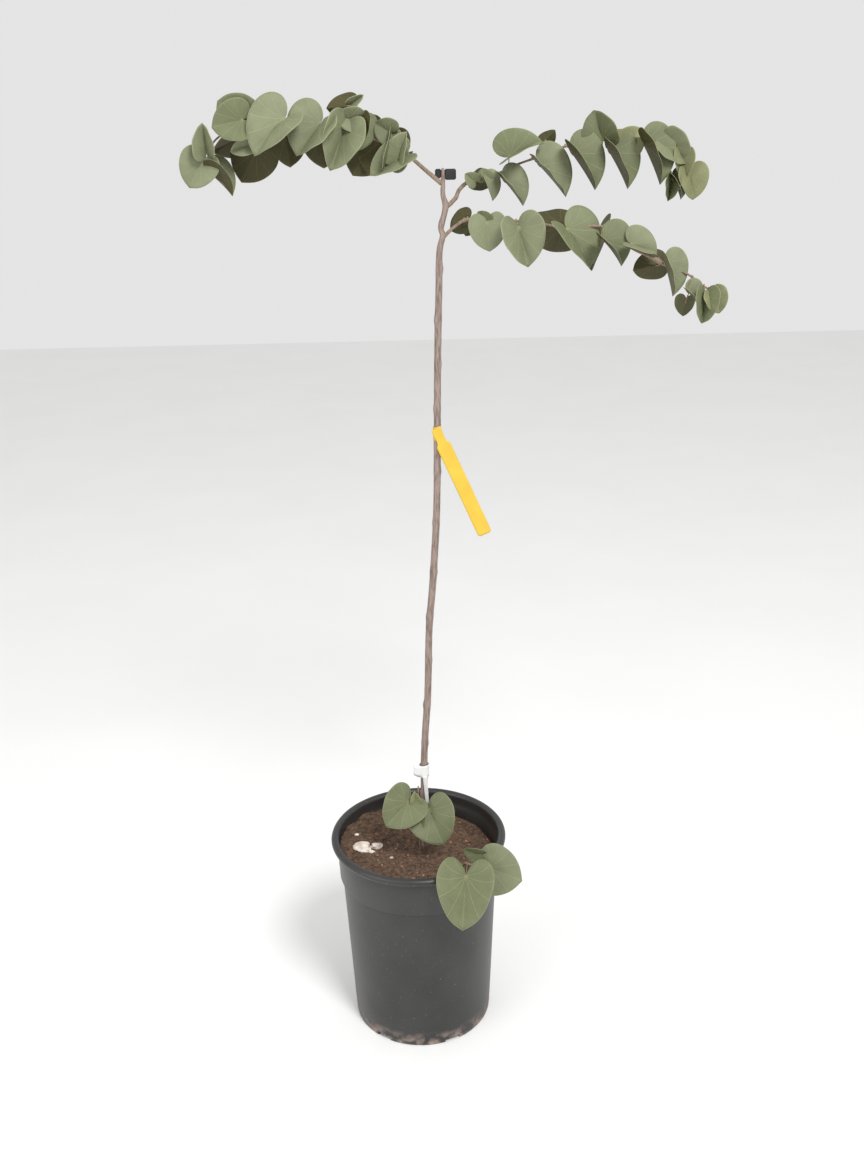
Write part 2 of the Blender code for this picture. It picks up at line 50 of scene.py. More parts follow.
def meshObject(name, points, faces, materials=(), tints=None, smooth=True, recalc=True):
    mesh = bpy.data.meshes.new(name)
    mesh.from_pydata([tuple(point) for point in points], [], faces)
    for material in materials:
        mesh.materials.append(material)
    if tints:
        mesh.polygons.foreach_set("material_index", tints)
    if recalc:
        work = bmesh.new()
        work.from_mesh(mesh)
        bmesh.ops.recalc_face_normals(work, faces=work.faces)
        work.to_mesh(mesh)
        work.free()
    if smooth:
        mesh.shade_smooth()
    item = bpy.data.objects.new(name, mesh)
    bpy.context.scene.collection.objects.link(item)
    return item


def settle(item, nodes=()):
    # Hands the finished piece to the frame
    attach(item, "root")
    if nodes:
        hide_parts(*nodes)


def plainMesh(item):
    # Turns live modifiers into an ordinary mesh
    graph = bpy.context.evaluated_depsgraph_get()
    graph.update()
    mesh = bpy.data.meshes.new_from_object(item.evaluated_get(graph))
    item.modifiers.clear()
    item.data = mesh


def ringTurns(sides):
    return [(math.cos(math.tau * k / sides), math.sin(math.tau * k / sides)) for k in range(sides)]


def stackRings(rings, start, end):
    # Joins rings of points, with one more point to close each end
    sides = len(rings[0])
    points = [start, end] + [point for ring in rings for point in ring]
    last = 2 + (len(rings) - 1) * sides
    faces = []
    for k in range(sides):
        n = (k + 1) % sides
        faces.append((0, 2 + n, 2 + k))
        for a in range(2, last, sides):
            faces.append((a + k, a + n, a + n + sides, a + k + sides))
        faces.append((1, last + k, last + n))
    return points, faces


def smoothLine(points, step):
    # Catmull-Rom through the points, with the radius carried along
    padded = [points[0]] + list(points) + [points[-1]]
    samples = []
    for a, b, c, d in zip(padded, padded[1:], padded[2:], padded[3:]):
        span = (Vector(c[:3]) - Vector(b[:3])).length
        count = max(1, round(span / step))
        for index in range(count):
            t = index / count
            values = [
                0.5 * (2 * q + (r - p) * t + (2 * p - 5 * q + 4 * r - s) * t ** 2
                       + (3 * q - p - 3 * r + s) * t ** 3)
                for p, q, r, s in zip(a, b, c, d)
            ]
            samples.append((Vector(values[:3]), values[3]))
    samples.append((Vector(points[-1][:3]), points[-1][3]))
    return samples


def sweep(samples, sides, relief=None):
    # A tube with low pointed ends; relief adds to its radius
    places = [place for place, _ in samples]
    side = Vector((0, 1, 0))
    rings = []
    for index, (place, radius) in enumerate(samples):
        ahead = places[min(index + 1, len(places) - 1)] - places[max(index - 1, 0)]
        ahead.normalize()
        side = (side - ahead * side.dot(ahead)).normalized()
        other = ahead.cross(side)
        ring = []
        for c, s in ringTurns(sides):
            outward = side * c + other * s
            extra = relief(place, outward, radius) if relief else 0.0
            ring.append(place + outward * (radius + extra))
        rings.append(ring)
    startAhead = (places[1] - places[0]).normalized()
    endAhead = (places[-1] - places[-2]).normalized()
    start = places[0] - startAhead * samples[0][1] * startCap
    end = places[-1] + endAhead * samples[-1][1] * endCap
    return stackRings(rings, start, end)


def joinParts(parts):
    # Each part is points, faces and its tints, or one tint for all its faces
    points, faces, tints = [], [], []
    for partPoints, partFaces, tint in parts:
        start = len(points)
        points.extend(partPoints)
        faces.extend(tuple(start + index for index in face) for face in partFaces)
        tints.extend(tint if isinstance(tint, list) else [tint] * len(partFaces))
    return points, faces, tints


def addNode(tree, kind, values=(), **settings):
    item = tree.nodes.new(kind)
    for key, value in settings.items():
        setattr(item, key, value)
    for entry, value in dict(values).items():
        item.inputs[entry].default_value = value
    return item


def wire(tree, *links):
    # A link is the giving node and its output, then the taking node and its input
    for giver, output, taker, entry in links:
        tree.links.new(giver.outputs[output], taker.inputs[entry])


# Shader groups

mixFirst, mixSecond, mixResult = 6, 7, 2  # colour sockets of a Mix node


def newGroup(name, inputs, outputs):
    group = bpy.data.node_groups.new(name, "ShaderNodeTree")
    for label, kind, value in inputs:
        socket = group.interface.new_socket(name=label, in_out="INPUT", socket_type=kind)
        socket.default_value = value
    for label, kind in outputs:
        group.interface.new_socket(name=label, in_out="OUTPUT", socket_type=kind)
    return group, addNode(group, "NodeGroupInput"), addNode(group, "NodeGroupOutput")


def addMask(group, source, scale, detail, span=(0.0, 1.0)):
    # Noise of which the span is drawn out from 0 to 1
    cloud = addNode(group, "ShaderNodeTexNoise", {"Detail": detail})
    mask = addNode(group, "ShaderNodeMapRange", {"From Min": span[0], "From Max": span[1]}, clamp=True)
    wire(
        group,
        (source, "Vector", cloud, "Vector"),
        (source, scale, cloud, "Scale"),
        (cloud, "Fac", mask, "Value"),
    )
    return mask


def makeMottleGroup():
    # Blends two colours in soft patches
    group, source, result = newGroup(
        "mottle",
        (
            ("Light Colour", "NodeSocketColor", (1, 1, 1, 1)),
            ("Dark Colour", "NodeSocketColor", (0, 0, 0, 1)),
            ("Vector", "NodeSocketVector", (0, 0, 0)),
            ("Scale", "NodeSocketFloat", 40.0),
            ("Low", "NodeSocketFloat", 0.35),
            ("High", "NodeSocketFloat", 0.65),
        ),
        (("Colour", "NodeSocketColor"),),
    )
    reach = addMask(group, source, "Scale", 6.0)
    blend = addNode(group, "ShaderNodeMix", data_type="RGBA")
    wire(
        group,
        (source, "Low", reach, "From Min"),
        (source, "High", reach, "From Max"),
        (reach, "Result", blend, "Factor"),
        (source, "Light Colour", blend, mixFirst),
        (source, "Dark Colour", blend, mixSecond),
        (blend, mixResult, result, "Colour"),
    )
    return group


def makeDustGroup():
    # Lays dust specks and a low splash of dried soil over a colour
    group, source, result = newGroup(
        "dust",
        (
            ("Colour", "NodeSocketColor", (0, 0, 0, 1)),
            ("Dust Colour", "NodeSocketColor", (0.3, 0.27, 0.23, 1)),
            ("Vector", "NodeSocketVector", (0, 0, 0)),
            ("Speck Scale", "NodeSocketFloat", 220.0),
            ("Speck Amount", "NodeSocketFloat", 0.3),
            ("Smear Scale", "NodeSocketFloat", 70.0),
            ("Low Edge", "NodeSocketFloat", 0.0),
            ("High Edge", "NodeSocketFloat", 0.04),
        ),
        (("Colour", "NodeSocketColor"), ("Mask", "NodeSocketFloat")),
    )
    speckMask = addMask(group, source, "Speck Scale", 3.0, (0.66, 0.76))
    smearMask = addMask(group, source, "Smear Scale", 8.0, (0.42, 0.62))
    specks = addNode(group, "ShaderNodeMath", operation="MULTIPLY")
    apart = addNode(group, "ShaderNodeSeparateXYZ")
    low = addNode(group, "ShaderNodeMapRange", {"To Min": 1.0, "To Max": 0.0}, clamp=True)
    lowSmear = addNode(group, "ShaderNodeMath", operation="MULTIPLY")
    both = addNode(group, "ShaderNodeMath", operation="MAXIMUM")
    blend = addNode(group, "ShaderNodeMix", data_type="RGBA")
    wire(
        group,
        (speckMask, "Result", specks, 0),
        (source, "Speck Amount", specks, 1),
        (source, "Vector", apart, "Vector"),
        (apart, "Z", low, "Value"),
        (source, "Low Edge", low, "From Min"),
        (source, "High Edge", low, "From Max"),
        (smearMask, "Result", lowSmear, 0),
        (low, "Result", lowSmear, 1),
        (specks, "Value", both, 0),
        (lowSmear, "Value", both, 1),
        (both, "Value", blend, "Factor"),
        (source, "Colour", blend, mixFirst),
        (source, "Dust Colour", blend, mixSecond),
        (blend, mixResult, result, "Colour"),
        (both, "Value", result, "Mask"),
    )
    return group


veinPlan = {
    "curl": 0.25,         # how far the outer veins bend to the tip
    "rungSlant": 2.2,
    "rungCount": 7.0,     # cross veins from joint to margin
    "rungWidth": 0.07,
    "marginWidth": 0.022,
}


def makeVeinGroup():
    # Palmate veins from the leaf's own map: x is the vein number, y the way to the margin
    group, source, result = newGroup(
        "leafVeins",
        (
            ("Map", "NodeSocketVector", (0, 0, 0)),
            ("Vein Width", "NodeSocketFloat", 0.02),
            ("Bend", "NodeSocketFloat", 0.35),
        ),
        (("Vein", "NodeSocketFloat"), ("Web", "NodeSocketFloat"), ("Margin", "NodeSocketFloat")),
    )

    def feed(socket, value):
        if isinstance(value, float):
            socket.default_value = value
        else:
            group.links.new(value, socket)

    def maths(operation, first, second=0.0):
        step = addNode(group, "ShaderNodeMath", operation=operation)
        feed(step.inputs[0], first)
        feed(step.inputs[1], second)
        return step.outputs["Value"]

    def fromWhole(value):
        # Distance from the middle between two whole numbers
        return maths("ABSOLUTE", maths("SUBTRACT", maths("FRACT", value), 0.5))

    def line(value, width):
        ramp = addNode(
            group, "ShaderNodeMapRange", {"To Min": 1.0, "To Max": 0.0},
            clamp=True, interpolation_type="SMOOTHSTEP",
        )
        feed(ramp.inputs["Value"], value)
        feed(ramp.inputs["From Max"], width)
        return ramp.outputs["Result"]

    apart = addNode(group, "ShaderNodeSeparateXYZ")
    wire(group, (source, "Map", apart, "Vector"))
    across, outward = apart.outputs["X"], apart.outputs["Y"]
    bent = maths("MULTIPLY", maths("MULTIPLY", outward, outward), source.outputs["Bend"])
    curled = maths("MULTIPLY", maths("MULTIPLY", bent, across), veinPlan["curl"])
    nearest = fromWhole(maths("ADD", maths("SUBTRACT", across, curled), 0.5))
    slant = maths("MULTIPLY", nearest, veinPlan["rungSlant"])
    rungs = maths("ADD", maths("MULTIPLY", outward, veinPlan["rungCount"]), slant)
    edgeDistance = maths("SUBTRACT", 1.0, outward)
    lines = {
        "Vein": line(maths("MULTIPLY", nearest, outward), source.outputs["Vein Width"]),
        "Web": line(fromWhole(rungs), veinPlan["rungWidth"]),
        "Margin": line(edgeDistance, veinPlan["marginWidth"]),
    }
    for label, output in lines.items():
        group.links.new(output, result.inputs[label])
    return group


mottle = makeMottleGroup()
dust = makeDustGroup()
leafVeins = makeVeinGroup()


# Materials


def newMaterial(name, roughness):
    material = bpy.data.materials.new(name)
    material.use_nodes = True
    shader = material.node_tree.nodes["Principled BSDF"]
    shader.inputs["Roughness"].default_value = roughness
    return material, material.node_tree, shader


def objectPlace(tree, scale=(1, 1, 1)):
    source = addNode(tree, "ShaderNodeTexCoord")
    mapping = addNode(tree, "ShaderNodeMapping", {"Scale": scale})
    wire(tree, (source, "Object", mapping, "Vector"))
    return mapping


def addPatches(tree, place, light, dark, scale, low=0.35, high=0.65):
    values = {
        "Light Colour": (*light, 1), "Dark Colour": (*dark, 1), "Scale": scale, "Low": low, "High": high,
    }
    patches = addNode(tree, "ShaderNodeGroup", values, node_tree=mottle)
    wire(tree, (place, "Vector", patches, "Vector"))
    return patches


def addBump(tree, shader, giver, output, strength, depth):
    bump = addNode(tree, "ShaderNodeBump", {"Strength": strength, "Distance": depth})
    wire(tree, (giver, output, bump, "Height"), (bump, "Normal", shader, "Normal"))


def addGrain(tree, shader, place, scale, detail, strength, depth):
    grain = addNode(tree, "ShaderNodeTexNoise", {"Scale": scale, "Detail": detail})
    wire(tree, (place, "Vector", grain, "Vector"))
    addBump(tree, shader, grain, "Fac", strength, depth)


leafLook = {
    "roughness": 0.62,
    "specular": 0.35,
    "darkShare": 0.80,    # how dark the patches are beside the tint
    "patchScale": 55.0,
    "patchLow": 0.3,
    "patchHigh": 0.75,
    "veinWidth": 0.022,
    "veinBend": 0.5,
    "webShare": 0.22,     # cross veins beside the main veins, in colour
    "webLift": 0.3,       # and in height
    "bumpStrength": 0.5,
    "bumpDepth": 0.0004,
}

veinPale = (0.36, 0.36, 0.20)
veinDull = (0.16, 0.15, 0.06)

# tint, vein colour and vein strength; the two undersides stand last, a dark olive that is partly their own
# colour and partly painted shade
leafTints = {
    "glaucous": ((0.190, 0.208, 0.118), veinPale, 0.55),
    "mid": ((0.148, 0.166, 0.084), veinPale, 0.50),
    # painted shade: a darker copy of the leaf green, given to leaves that lie in shadow
    "deep": ((0.100, 0.114, 0.052), veinPale, 0.42),
    "yellowed": ((0.205, 0.212, 0.105), veinPale, 0.45),
    # painted shade: the undersides are darker than their own paler green
    "under": ((0.058, 0.053, 0.015), veinDull, 0.6),
    "underPale": ((0.092, 0.092, 0.040), veinDull, 0.5),
}


def leafMaterial(name, tint, veinColour, veinStrength):
    look = leafLook
    material, tree, shader = newMaterial("leaf" + name[0].upper() + name[1:], look["roughness"])
    dark = [value * look["darkShare"] for value in tint]
    patches = addPatches(
        tree, objectPlace(tree), tint, dark, look["patchScale"], look["patchLow"], look["patchHigh"])
    leafMap = addNode(tree, "ShaderNodeUVMap", uv_map="leafMap")
    veinValues = {"Vein Width": look["veinWidth"], "Bend": look["veinBend"]}
    veins = addNode(tree, "ShaderNodeGroup", veinValues, node_tree=leafVeins)
    webAmount = addNode(tree, "ShaderNodeMath", {1: look["webShare"] * veinStrength}, operation="MULTIPLY")
    webShade = addNode(tree, "ShaderNodeMix", {mixSecond: (*veinColour, 1)}, data_type="RGBA")
    strongest = addNode(tree, "ShaderNodeMath", operation="MAXIMUM")
    veinAmount = addNode(tree, "ShaderNodeMath", {1: veinStrength}, operation="MULTIPLY")
    veinShade = addNode(tree, "ShaderNodeMix", {mixSecond: (*veinColour, 1)}, data_type="RGBA")
    lift = addNode(tree, "ShaderNodeMath", {1: look["webLift"]}, operation="MULTIPLY_ADD")
    wire(
        tree,
        (leafMap, "UV", veins, "Map"),
        (veins, "Web", webAmount, 0),
        (webAmount, "Value", webShade, "Factor"),
        (patches, "Colour", webShade, mixFirst),
        (veins, "Vein", strongest, 0),
        (veins, "Margin", strongest, 1),
        (strongest, "Value", veinAmount, 0),
        (veinAmount, "Value", veinShade, "Factor"),
        (webShade, mixResult, veinShade, mixFirst),
        (veinShade, mixResult, shader, "Base Color"),
        (veins, "Web", lift, 0),
        (veins, "Vein", lift, 2),
    )
    addBump(tree, shader, lift, "Value", look["bumpStrength"], look["bumpDepth"])
    shader.inputs["Specular IOR Level"].default_value = look["specular"]
    return material


barkLook = {
    "stretch": (1.0, 1.0, 0.16),  # drawn out along the stem
    "patchLow": 0.42,
    "patchHigh": 0.72,
    "grainShare": 2.2,            # grain scale beside the patch scale
    "grainDetail": 8.0,
}

plainLook = {
    "stretch": (1.0, 1.0, 1.0),
    "patchLow": 0.36,
    "patchHigh": 0.64,
    "grainShare": 3.0,
    "grainDetail": 6.0,
}


def mottledMaterial(name, look, light, dark, scale, roughness, depth, strength):
    material, tree, shader = newMaterial(name, roughness)
    place = objectPlace(tree, look["stretch"])
    patches = addPatches(tree, place, light, dark, scale, look["patchLow"], look["patchHigh"])
    wire(tree, (patches, "Colour", shader, "Base Color"))
    addGrain(tree, shader, place, scale * look["grainShare"], look["grainDetail"], strength, depth)
    return material


potLook = {
    "light": (0.030, 0.029, 0.028),
    "dark": (0.018, 0.0175, 0.017),
    "patchScale": 14.0,
    "patchLow": 0.35,
    "patchHigh": 0.7,
    "dust": {
        "Dust Colour": (0.30, 0.23, 0.19, 1),
        "Speck Scale": 240.0,
        "Speck Amount": 0.35,
        "Smear Scale": 70.0,
        "Low Edge": 0.004,
        "High Edge": 0.026,
    },
    "cleanRoughness": 0.40,
    "dustyRoughness": 0.85,
    "grainScale": 420.0,
    "grainDetail": 2.0,
    "grainStrength": 0.12,
    "grainDepth": 0.0004,
}


def potMaterial():
    look = potLook
    material, tree, shader = newMaterial("potPlastic", look["cleanRoughness"])
    place = objectPlace(tree)
    patches = addPatches(
        tree, place, look["light"], look["dark"], look["patchScale"], look["patchLow"], look["patchHigh"])
    dusty = addNode(tree, "ShaderNodeGroup", look["dust"], node_tree=dust)
    rough = addNode(
        tree, "ShaderNodeMapRange", {"To Min": look["cleanRoughness"], "To Max": look["dustyRoughness"]},
        clamp=True)
    wire(
        tree,
        (place, "Vector", dusty, "Vector"),
        (patches, "Colour", dusty, "Colour"),
        (dusty, "Colour", shader, "Base Color"),
        (dusty, "Mask", rough, "Value"),
        (rough, "Result", shader, "Roughness"),
    )
    addGrain(
        tree, shader, place, look["grainScale"], look["grainDetail"], look["grainStrength"],
        look["grainDepth"])
    return material


# look, light and dark colour, patch scale, roughness, grain depth and grain strength
finishes = {
    "trunkBark": (barkLook, (0.27, 0.205, 0.175), (0.120, 0.082, 0.064), 420.0, 0.72, 0.0006, 0.45),
    "boughBark": (barkLook, (0.25, 0.185, 0.130), (0.135, 0.092, 0.060), 520.0, 0.72, 0.0006, 0.45),
    "stalkSkin": (plainLook, (0.26, 0.22, 0.10), (0.20, 0.10, 0.07), 90.0, 0.5, 0.0002, 0.2),
    "soilMix": (plainLook, (0.150, 0.088, 0.052), (0.055, 0.032, 0.020), 160.0, 0.95, 0.003, 0.9),
    "chipOrange": (plainLook, (0.36, 0.17, 0.075), (0.20, 0.095, 0.045), 120.0, 0.85, 0.001, 0.5),
    "chipBrown": (plainLook, (0.17, 0.095, 0.055), (0.075, 0.043, 0.027), 150.0, 0.9, 0.001, 0.5),
    "chipPale": (plainLook, (0.55, 0.45, 0.36), (0.36, 0.27, 0.20), 200.0, 0.9, 0.0006, 0.5),
    "stoneWhite": (plainLook, (0.78, 0.72, 0.66), (0.52, 0.42, 0.35), 130.0, 0.9, 0.0012, 0.5),
    "labelPlastic": (plainLook, (0.66, 0.44, 0.040), (0.60, 0.385, 0.034), 40.0, 0.42, 0.0003, 0.1),
    "bandPaper": (plainLook, (0.70, 0.70, 0.69), (0.66, 0.66, 0.66), 120.0, 0.5, 0.0003, 0.2),
    "clipPlastic": (plainLook, (0.020, 0.020, 0.021), (0.011, 0.011, 0.012), 90.0, 0.34, 0.0003, 0.15),
}
leafMaterials = [leafMaterial(name, *values) for name, values in leafTints.items()]
tintOrder = list(leafTints)
potPlastic = potMaterial()
finish = {name: mottledMaterial(name, *values) for name, values in finishes.items()}
print("materials made")


# Pot

potPlan = {
    "sides": 144,
    "height": 0.309,
    "beadCentre": 0.124,
    "beadRadius": 0.0059,
    "baseRadius": 0.1040,
    "baseChamfer": 0.003,
    "wallFoot": 0.012,     # the straight wall starts here
    "wallRows": 14,
    "wallProud": 0.0004,   # and stands out this far past the base
    "stepHeight": 0.245,
    "stepRise": 0.003,
    "belowStep": 0.1154,
    "aboveStep": 0.1194,
    "neck": 0.1207,
    # radius and height of the rounded step and the faint ridge above it
    "shoulder": ((0.1166, 0.2432), (0.1188, 0.2444), (0.1194, 0.2458), (0.1197, 0.262), (0.1201, 0.263)),
    # arcs in degrees
    "chamferArc": (-60, -30, 0),
    "beadArc": range(-100, 191, 18),
    "beadJoin": 0.001,
    "wall": 0.0021,
    "floor": 0.004,
    # height, and how far the inner wall stands out there, from the top down
    "innerWall": (
        (0.288, 0.0), (0.287, 0.0006), (0.262, 0.0006), (0.261, 0.0002), (0.248, 0.0), (0.245, 0.0),
        (0.12, 0.0), (0.004, 0.0),
    ),
    "wobble": 0.00025,     # the wall isn't quite round
    "wobbleAround": 2,
    "wobbleUp": 9,
    "drains": 6,
    "drainTurn": math.radians(-64.5),
    "drainWidth": 0.024,
    "drainHeight": 0.007,
    "drainDepth": 0.014,
    "sharpAngle": math.radians(38),
}
neckHeight = potPlan["height"] - 2 * potPlan["beadRadius"]


def potInner(z):
    # Inner radius of the pot at a height
    p = potPlan
    marks = (
        (p["floor"], p["baseRadius"] - p["wall"]),
        (p["stepHeight"], p["belowStep"] - p["wall"]),
        (p["stepHeight"] + p["stepRise"], p["aboveStep"] - p["wall"]),
        (neckHeight, p["neck"] - p["wall"]),
    )
    for (z0, r0), (z1, r1) in zip(marks, marks[1:]):
        if z <= z1:
            return r0 + (r1 - r0) * (z - z0) / (z1 - z0)
    return marks[-1][1]


def potProfile():
    # Radius and height down the outside, over the bead and down the inside
    p = potPlan
    beadZ = p["height"] - p["beadRadius"]
    profile = [(p["baseRadius"] - p["baseChamfer"], 0)]
    for degrees in p["chamferArc"]:
        turn = math.radians(degrees)
        out = p["baseRadius"] - p["baseChamfer"] * (1 - math.cos(turn))
        profile.append((out, p["baseChamfer"] * (1 + math.sin(turn))))
    foot = (p["baseRadius"] + p["wallProud"], p["wallFoot"])
    top = (p["belowStep"], p["stepHeight"] - p["stepRise"])
    for row in range(p["wallRows"] + 1):
        share = row / p["wallRows"]
        profile.append(tuple(low + (high - low) * share for low, high in zip(foot, top)))
    profile.extend(p["shoulder"])
    profile.append((p["neck"], neckHeight - p["beadJoin"]))
    for degrees in p["beadArc"]:
        turn = math.radians(degrees)
        out = p["beadCentre"] + p["beadRadius"] * math.cos(turn)
        profile.append((out, beadZ + p["beadRadius"] * math.sin(turn)))
    profile.append((potInner(neckHeight), neckHeight - p["beadJoin"]))
    profile.extend((potInner(z) - proud, z) for z, proud in p["innerWall"])
    return profile


def drainCutter(number):
    p = potPlan
    turn = p["drainTurn"] + math.tau * number / p["drains"]
    outward = Vector((math.cos(turn), math.sin(turn), 0))
    across = Vector((-math.sin(turn), math.cos(turn), 0))
    corners = []
    for out in (p["baseRadius"] - p["drainDepth"], p["baseRadius"] + p["drainDepth"]):
        for side in (-p["drainWidth"] / 2, p["drainWidth"] / 2):
            for z in (-p["drainHeight"], p["drainHeight"]):
                corners.append(outward * out + across * side + Vector((0, 0, z)))
    boxFaces = [(0, 1, 3, 2), (4, 6, 7, 5), (0, 4, 5, 1), (2, 3, 7, 6), (0, 2, 6, 4), (1, 5, 7, 3)]
    return meshObject("drainCutter", corners, boxFaces, smooth=False)


def makePot():
    p = potPlan
    rings = []
    for radius, z in potProfile():
        ring = []
        for c, s in ringTurns(p["sides"]):
            lump = noise.noise(Vector((c * p["wobbleAround"], s * p["wobbleAround"], z * p["wobbleUp"])))
            out = radius + lump * p["wobble"]
            ring.append((out * c, out * s, z))
        rings.append(ring)
    points, faces = stackRings(rings, (0, 0, 0), (0, 0, p["floor"]))
    pot = meshObject("potShell", points, faces, (potPlastic,))
    cutters = [drainCutter(number) for number in range(p["drains"])]
    for cutter in cutters:
        cut = pot.modifiers.new("drain", "BOOLEAN")
        cut.operation = "DIFFERENCE"
        cut.object = cutter
    plainMesh(pot)
    for cutter in cutters:
        bpy.data.objects.remove(cutter, do_unlink=True)
    pot.data.materials.clear()
    pot.data.materials.append(potPlastic)
    pot.data.polygons.foreach_set("material_index", [0] * len(pot.data.polygons))
    pot.data.shade_smooth()
    pot.data.set_sharp_from_angle(angle=p["sharpAngle"])
    settle(pot, ("pot",))


makePot()
print("pot made")


# Soil

soilPlan = {
    "level": 0.279,
    "fall": 0.12,          # lower at the right
    "flat": 0.028,
    "wave": 0.0022,
    # radians per metre and where the wave starts
    "waveRight": (61, 0.8),
    "waveBack": (73, -0.4),
    # radians per metre to the right and to the back, and the share of this wave
    "crossWave": (97, 128, 0.6),
    "rough": 0.0016,
    # how close the lumps lie, which layer of the noise they use and their share
    "lumps": ((95, 3.1, 1.0), (260, 7.7, 0.5)),
    "calm": 0.012,         # the lumps fade near the middle
    "calmEdge": 0.02,
    "calmLeast": 0.25,
    "rings": 46,
    "sides": 144,
    "besideWall": 0.0007,
    "overFloor": 0.0004,
    "middle": 0.1,
}


def soilHeight(x, y):
    b = soilPlan
    radius = math.hypot(x, y)
    away = min(1.0, max(0.0, (radius - b["flat"]) / b["flat"]))
    right, rightStart = b["waveRight"]
    back, backStart = b["waveBack"]
    crossRight, crossBack, crossShare = b["crossWave"]
    wave = math.sin(right * x + rightStart) * math.cos(back * y + backStart)
    wave += crossShare * math.sin(crossBack * y + crossRight * x)
    lump = 0.0
    for scale, layer, share in b["lumps"]:
        lump += share * noise.noise(Vector((x * scale, y * scale, layer)))
    edge = min(1.0, max(b["calmLeast"], (radius - b["calm"]) / b["calmEdge"]))
    return b["level"] + away * (b["wave"] * wave - b["fall"] * x) + b["rough"] * lump * edge


def makeSoil():
    b = soilPlan
    around = ringTurns(b["sides"])
    floorZ = potPlan["floor"] + b["overFloor"]
    rings = []
    for z in (floorZ, b["middle"], potPlan["stepHeight"], potPlan["stepHeight"] + potPlan["stepRise"]):
        radius = potInner(z) - b["besideWall"]
        rings.append([(radius * c, radius * s, z) for c, s in around])
    edge = potInner(b["level"]) - b["besideWall"]
    for ring in range(b["rings"] + 1):
        radius = edge * (1 - ring / (b["rings"] + 1))
        rings.append([(radius * c, radius * s, soilHeight(radius * c, radius * s)) for c, s in around])
    points, faces = stackRings(rings, (0, 0, floorZ), (0, 0, soilHeight(0, 0)))
    settle(meshObject("soilBed", points, faces, (finish["soilMix"],)), ("root_ball",))


# Geometry Nodes for what repeats


def newGeometryTree(name, inputs):
    tree = bpy.data.node_groups.new(name, "GeometryNodeTree")
    tree.interface.new_socket(name="Geometry", in_out="INPUT", socket_type="NodeSocketGeometry")
    sockets = {}
    for label, kind in inputs:
        socket = tree.interface.new_socket(name=label, in_out="INPUT", socket_type=kind)
        sockets[label] = socket.identifier
    tree.interface.new_socket(name="Geometry", in_out="OUTPUT", socket_type="NodeSocketGeometry")
    return tree, addNode(tree, "NodeGroupInput"), sockets


def placeOn(tree, source, points, shape, tilt):
    # Puts the shape on every point, turned at random, and gives it its material
    instance = addNode(tree, "GeometryNodeInstanceOnPoints")
    turn = addNode(
        tree, "FunctionNodeRandomValue", {"Min": (-tilt, -tilt, 0.0), "Max": (tilt, tilt, math.tau)},
        data_type="FLOAT_VECTOR")
    realize = addNode(tree, "GeometryNodeRealizeInstances")
    paint = addNode(tree, "GeometryNodeSetMaterial")
    wire(
        tree,
        (points, "Points", instance, "Points"),
        (shape, "Geometry", instance, "Instance"),
        (turn, "Value", instance, "Rotation"),
        (source, "Seed", turn, "Seed"),
        (instance, "Instances", realize, "Geometry"),
        (realize, "Geometry", paint, "Geometry"),
        (source, "Material", paint, "Material"),
        (paint, "Geometry", addNode(tree, "NodeGroupOutput"), "Geometry"),
    )
    return instance


def growOn(item, tree, sockets, values):
    modifier = item.modifiers.new("grow", "NODES")
    modifier.node_group = tree
    for label, value in values.items():
        modifier[sockets[label]] = value
    plainMesh(item)


randomLow, randomHigh, randomFloat = 2, 3, 1  # number sockets of a Random Value node

chipShape = {
    "breadth": 0.62,
    "lumpScale": 1.3,
    "lumpMiddle": (0.5, 0.5, 0.5),
    "tilt": 0.5,
}


def chipTree():
    # Scatters flat lumps over a surface
    tree, source, sockets = newGeometryTree("scatteredChips", (
        ("Density", "NodeSocketFloat"),
        ("Smallest", "NodeSocketFloat"),
        ("Largest", "NodeSocketFloat"),
        ("Flatness", "NodeSocketFloat"),
        ("Seed", "NodeSocketInt"),
        ("Material", "NodeSocketMaterial"),
    ))
    spread = addNode(tree, "GeometryNodeDistributePointsOnFaces")
    lump = addNode(tree, "GeometryNodeMeshIcoSphere", {"Radius": 1.0, "Subdivisions": 2})
    shape = addNode(tree, "GeometryNodeTransform")
    stretch = addNode(tree, "ShaderNodeCombineXYZ", {"X": 1.0, "Y": chipShape["breadth"]})
    jitter = addNode(tree, "GeometryNodeSetPosition")
    place = addNode(tree, "GeometryNodeInputPosition")
    cloud = addNode(tree, "ShaderNodeTexNoise", {"Scale": chipShape["lumpScale"]})
    shift = addNode(tree, "ShaderNodeVectorMath", {1: chipShape["lumpMiddle"]}, operation="SUBTRACT")
    size = addNode(tree, "FunctionNodeRandomValue", data_type="FLOAT")
    instance = placeOn(tree, source, spread, jitter, chipShape["tilt"])
    wire(
        tree,
        (source, "Geometry", spread, "Mesh"),
        (source, "Density", spread, "Density"),
        (source, "Seed", spread, "Seed"),
        (source, "Flatness", stretch, "Z"),
        (lump, "Mesh", shape, "Geometry"),
        (stretch, "Vector", shape, "Scale"),
        (shape, "Geometry", jitter, "Geometry"),
        (place, "Position", cloud, "Vector"),
        (cloud, "Color", shift, 0),
        (shift, "Vector", jitter, "Offset"),
        (source, "Smallest", size, randomLow),
        (source, "Largest", size, randomHigh),
        (source, "Seed", size, "Seed"),
        (size, randomFloat, instance, "Scale"),
    )
    return tree, sockets


chipSpread = {
    "sides": 48,
    "rings": 14,
    "reach": 0.112,
    "sunk": 0.0004,
}

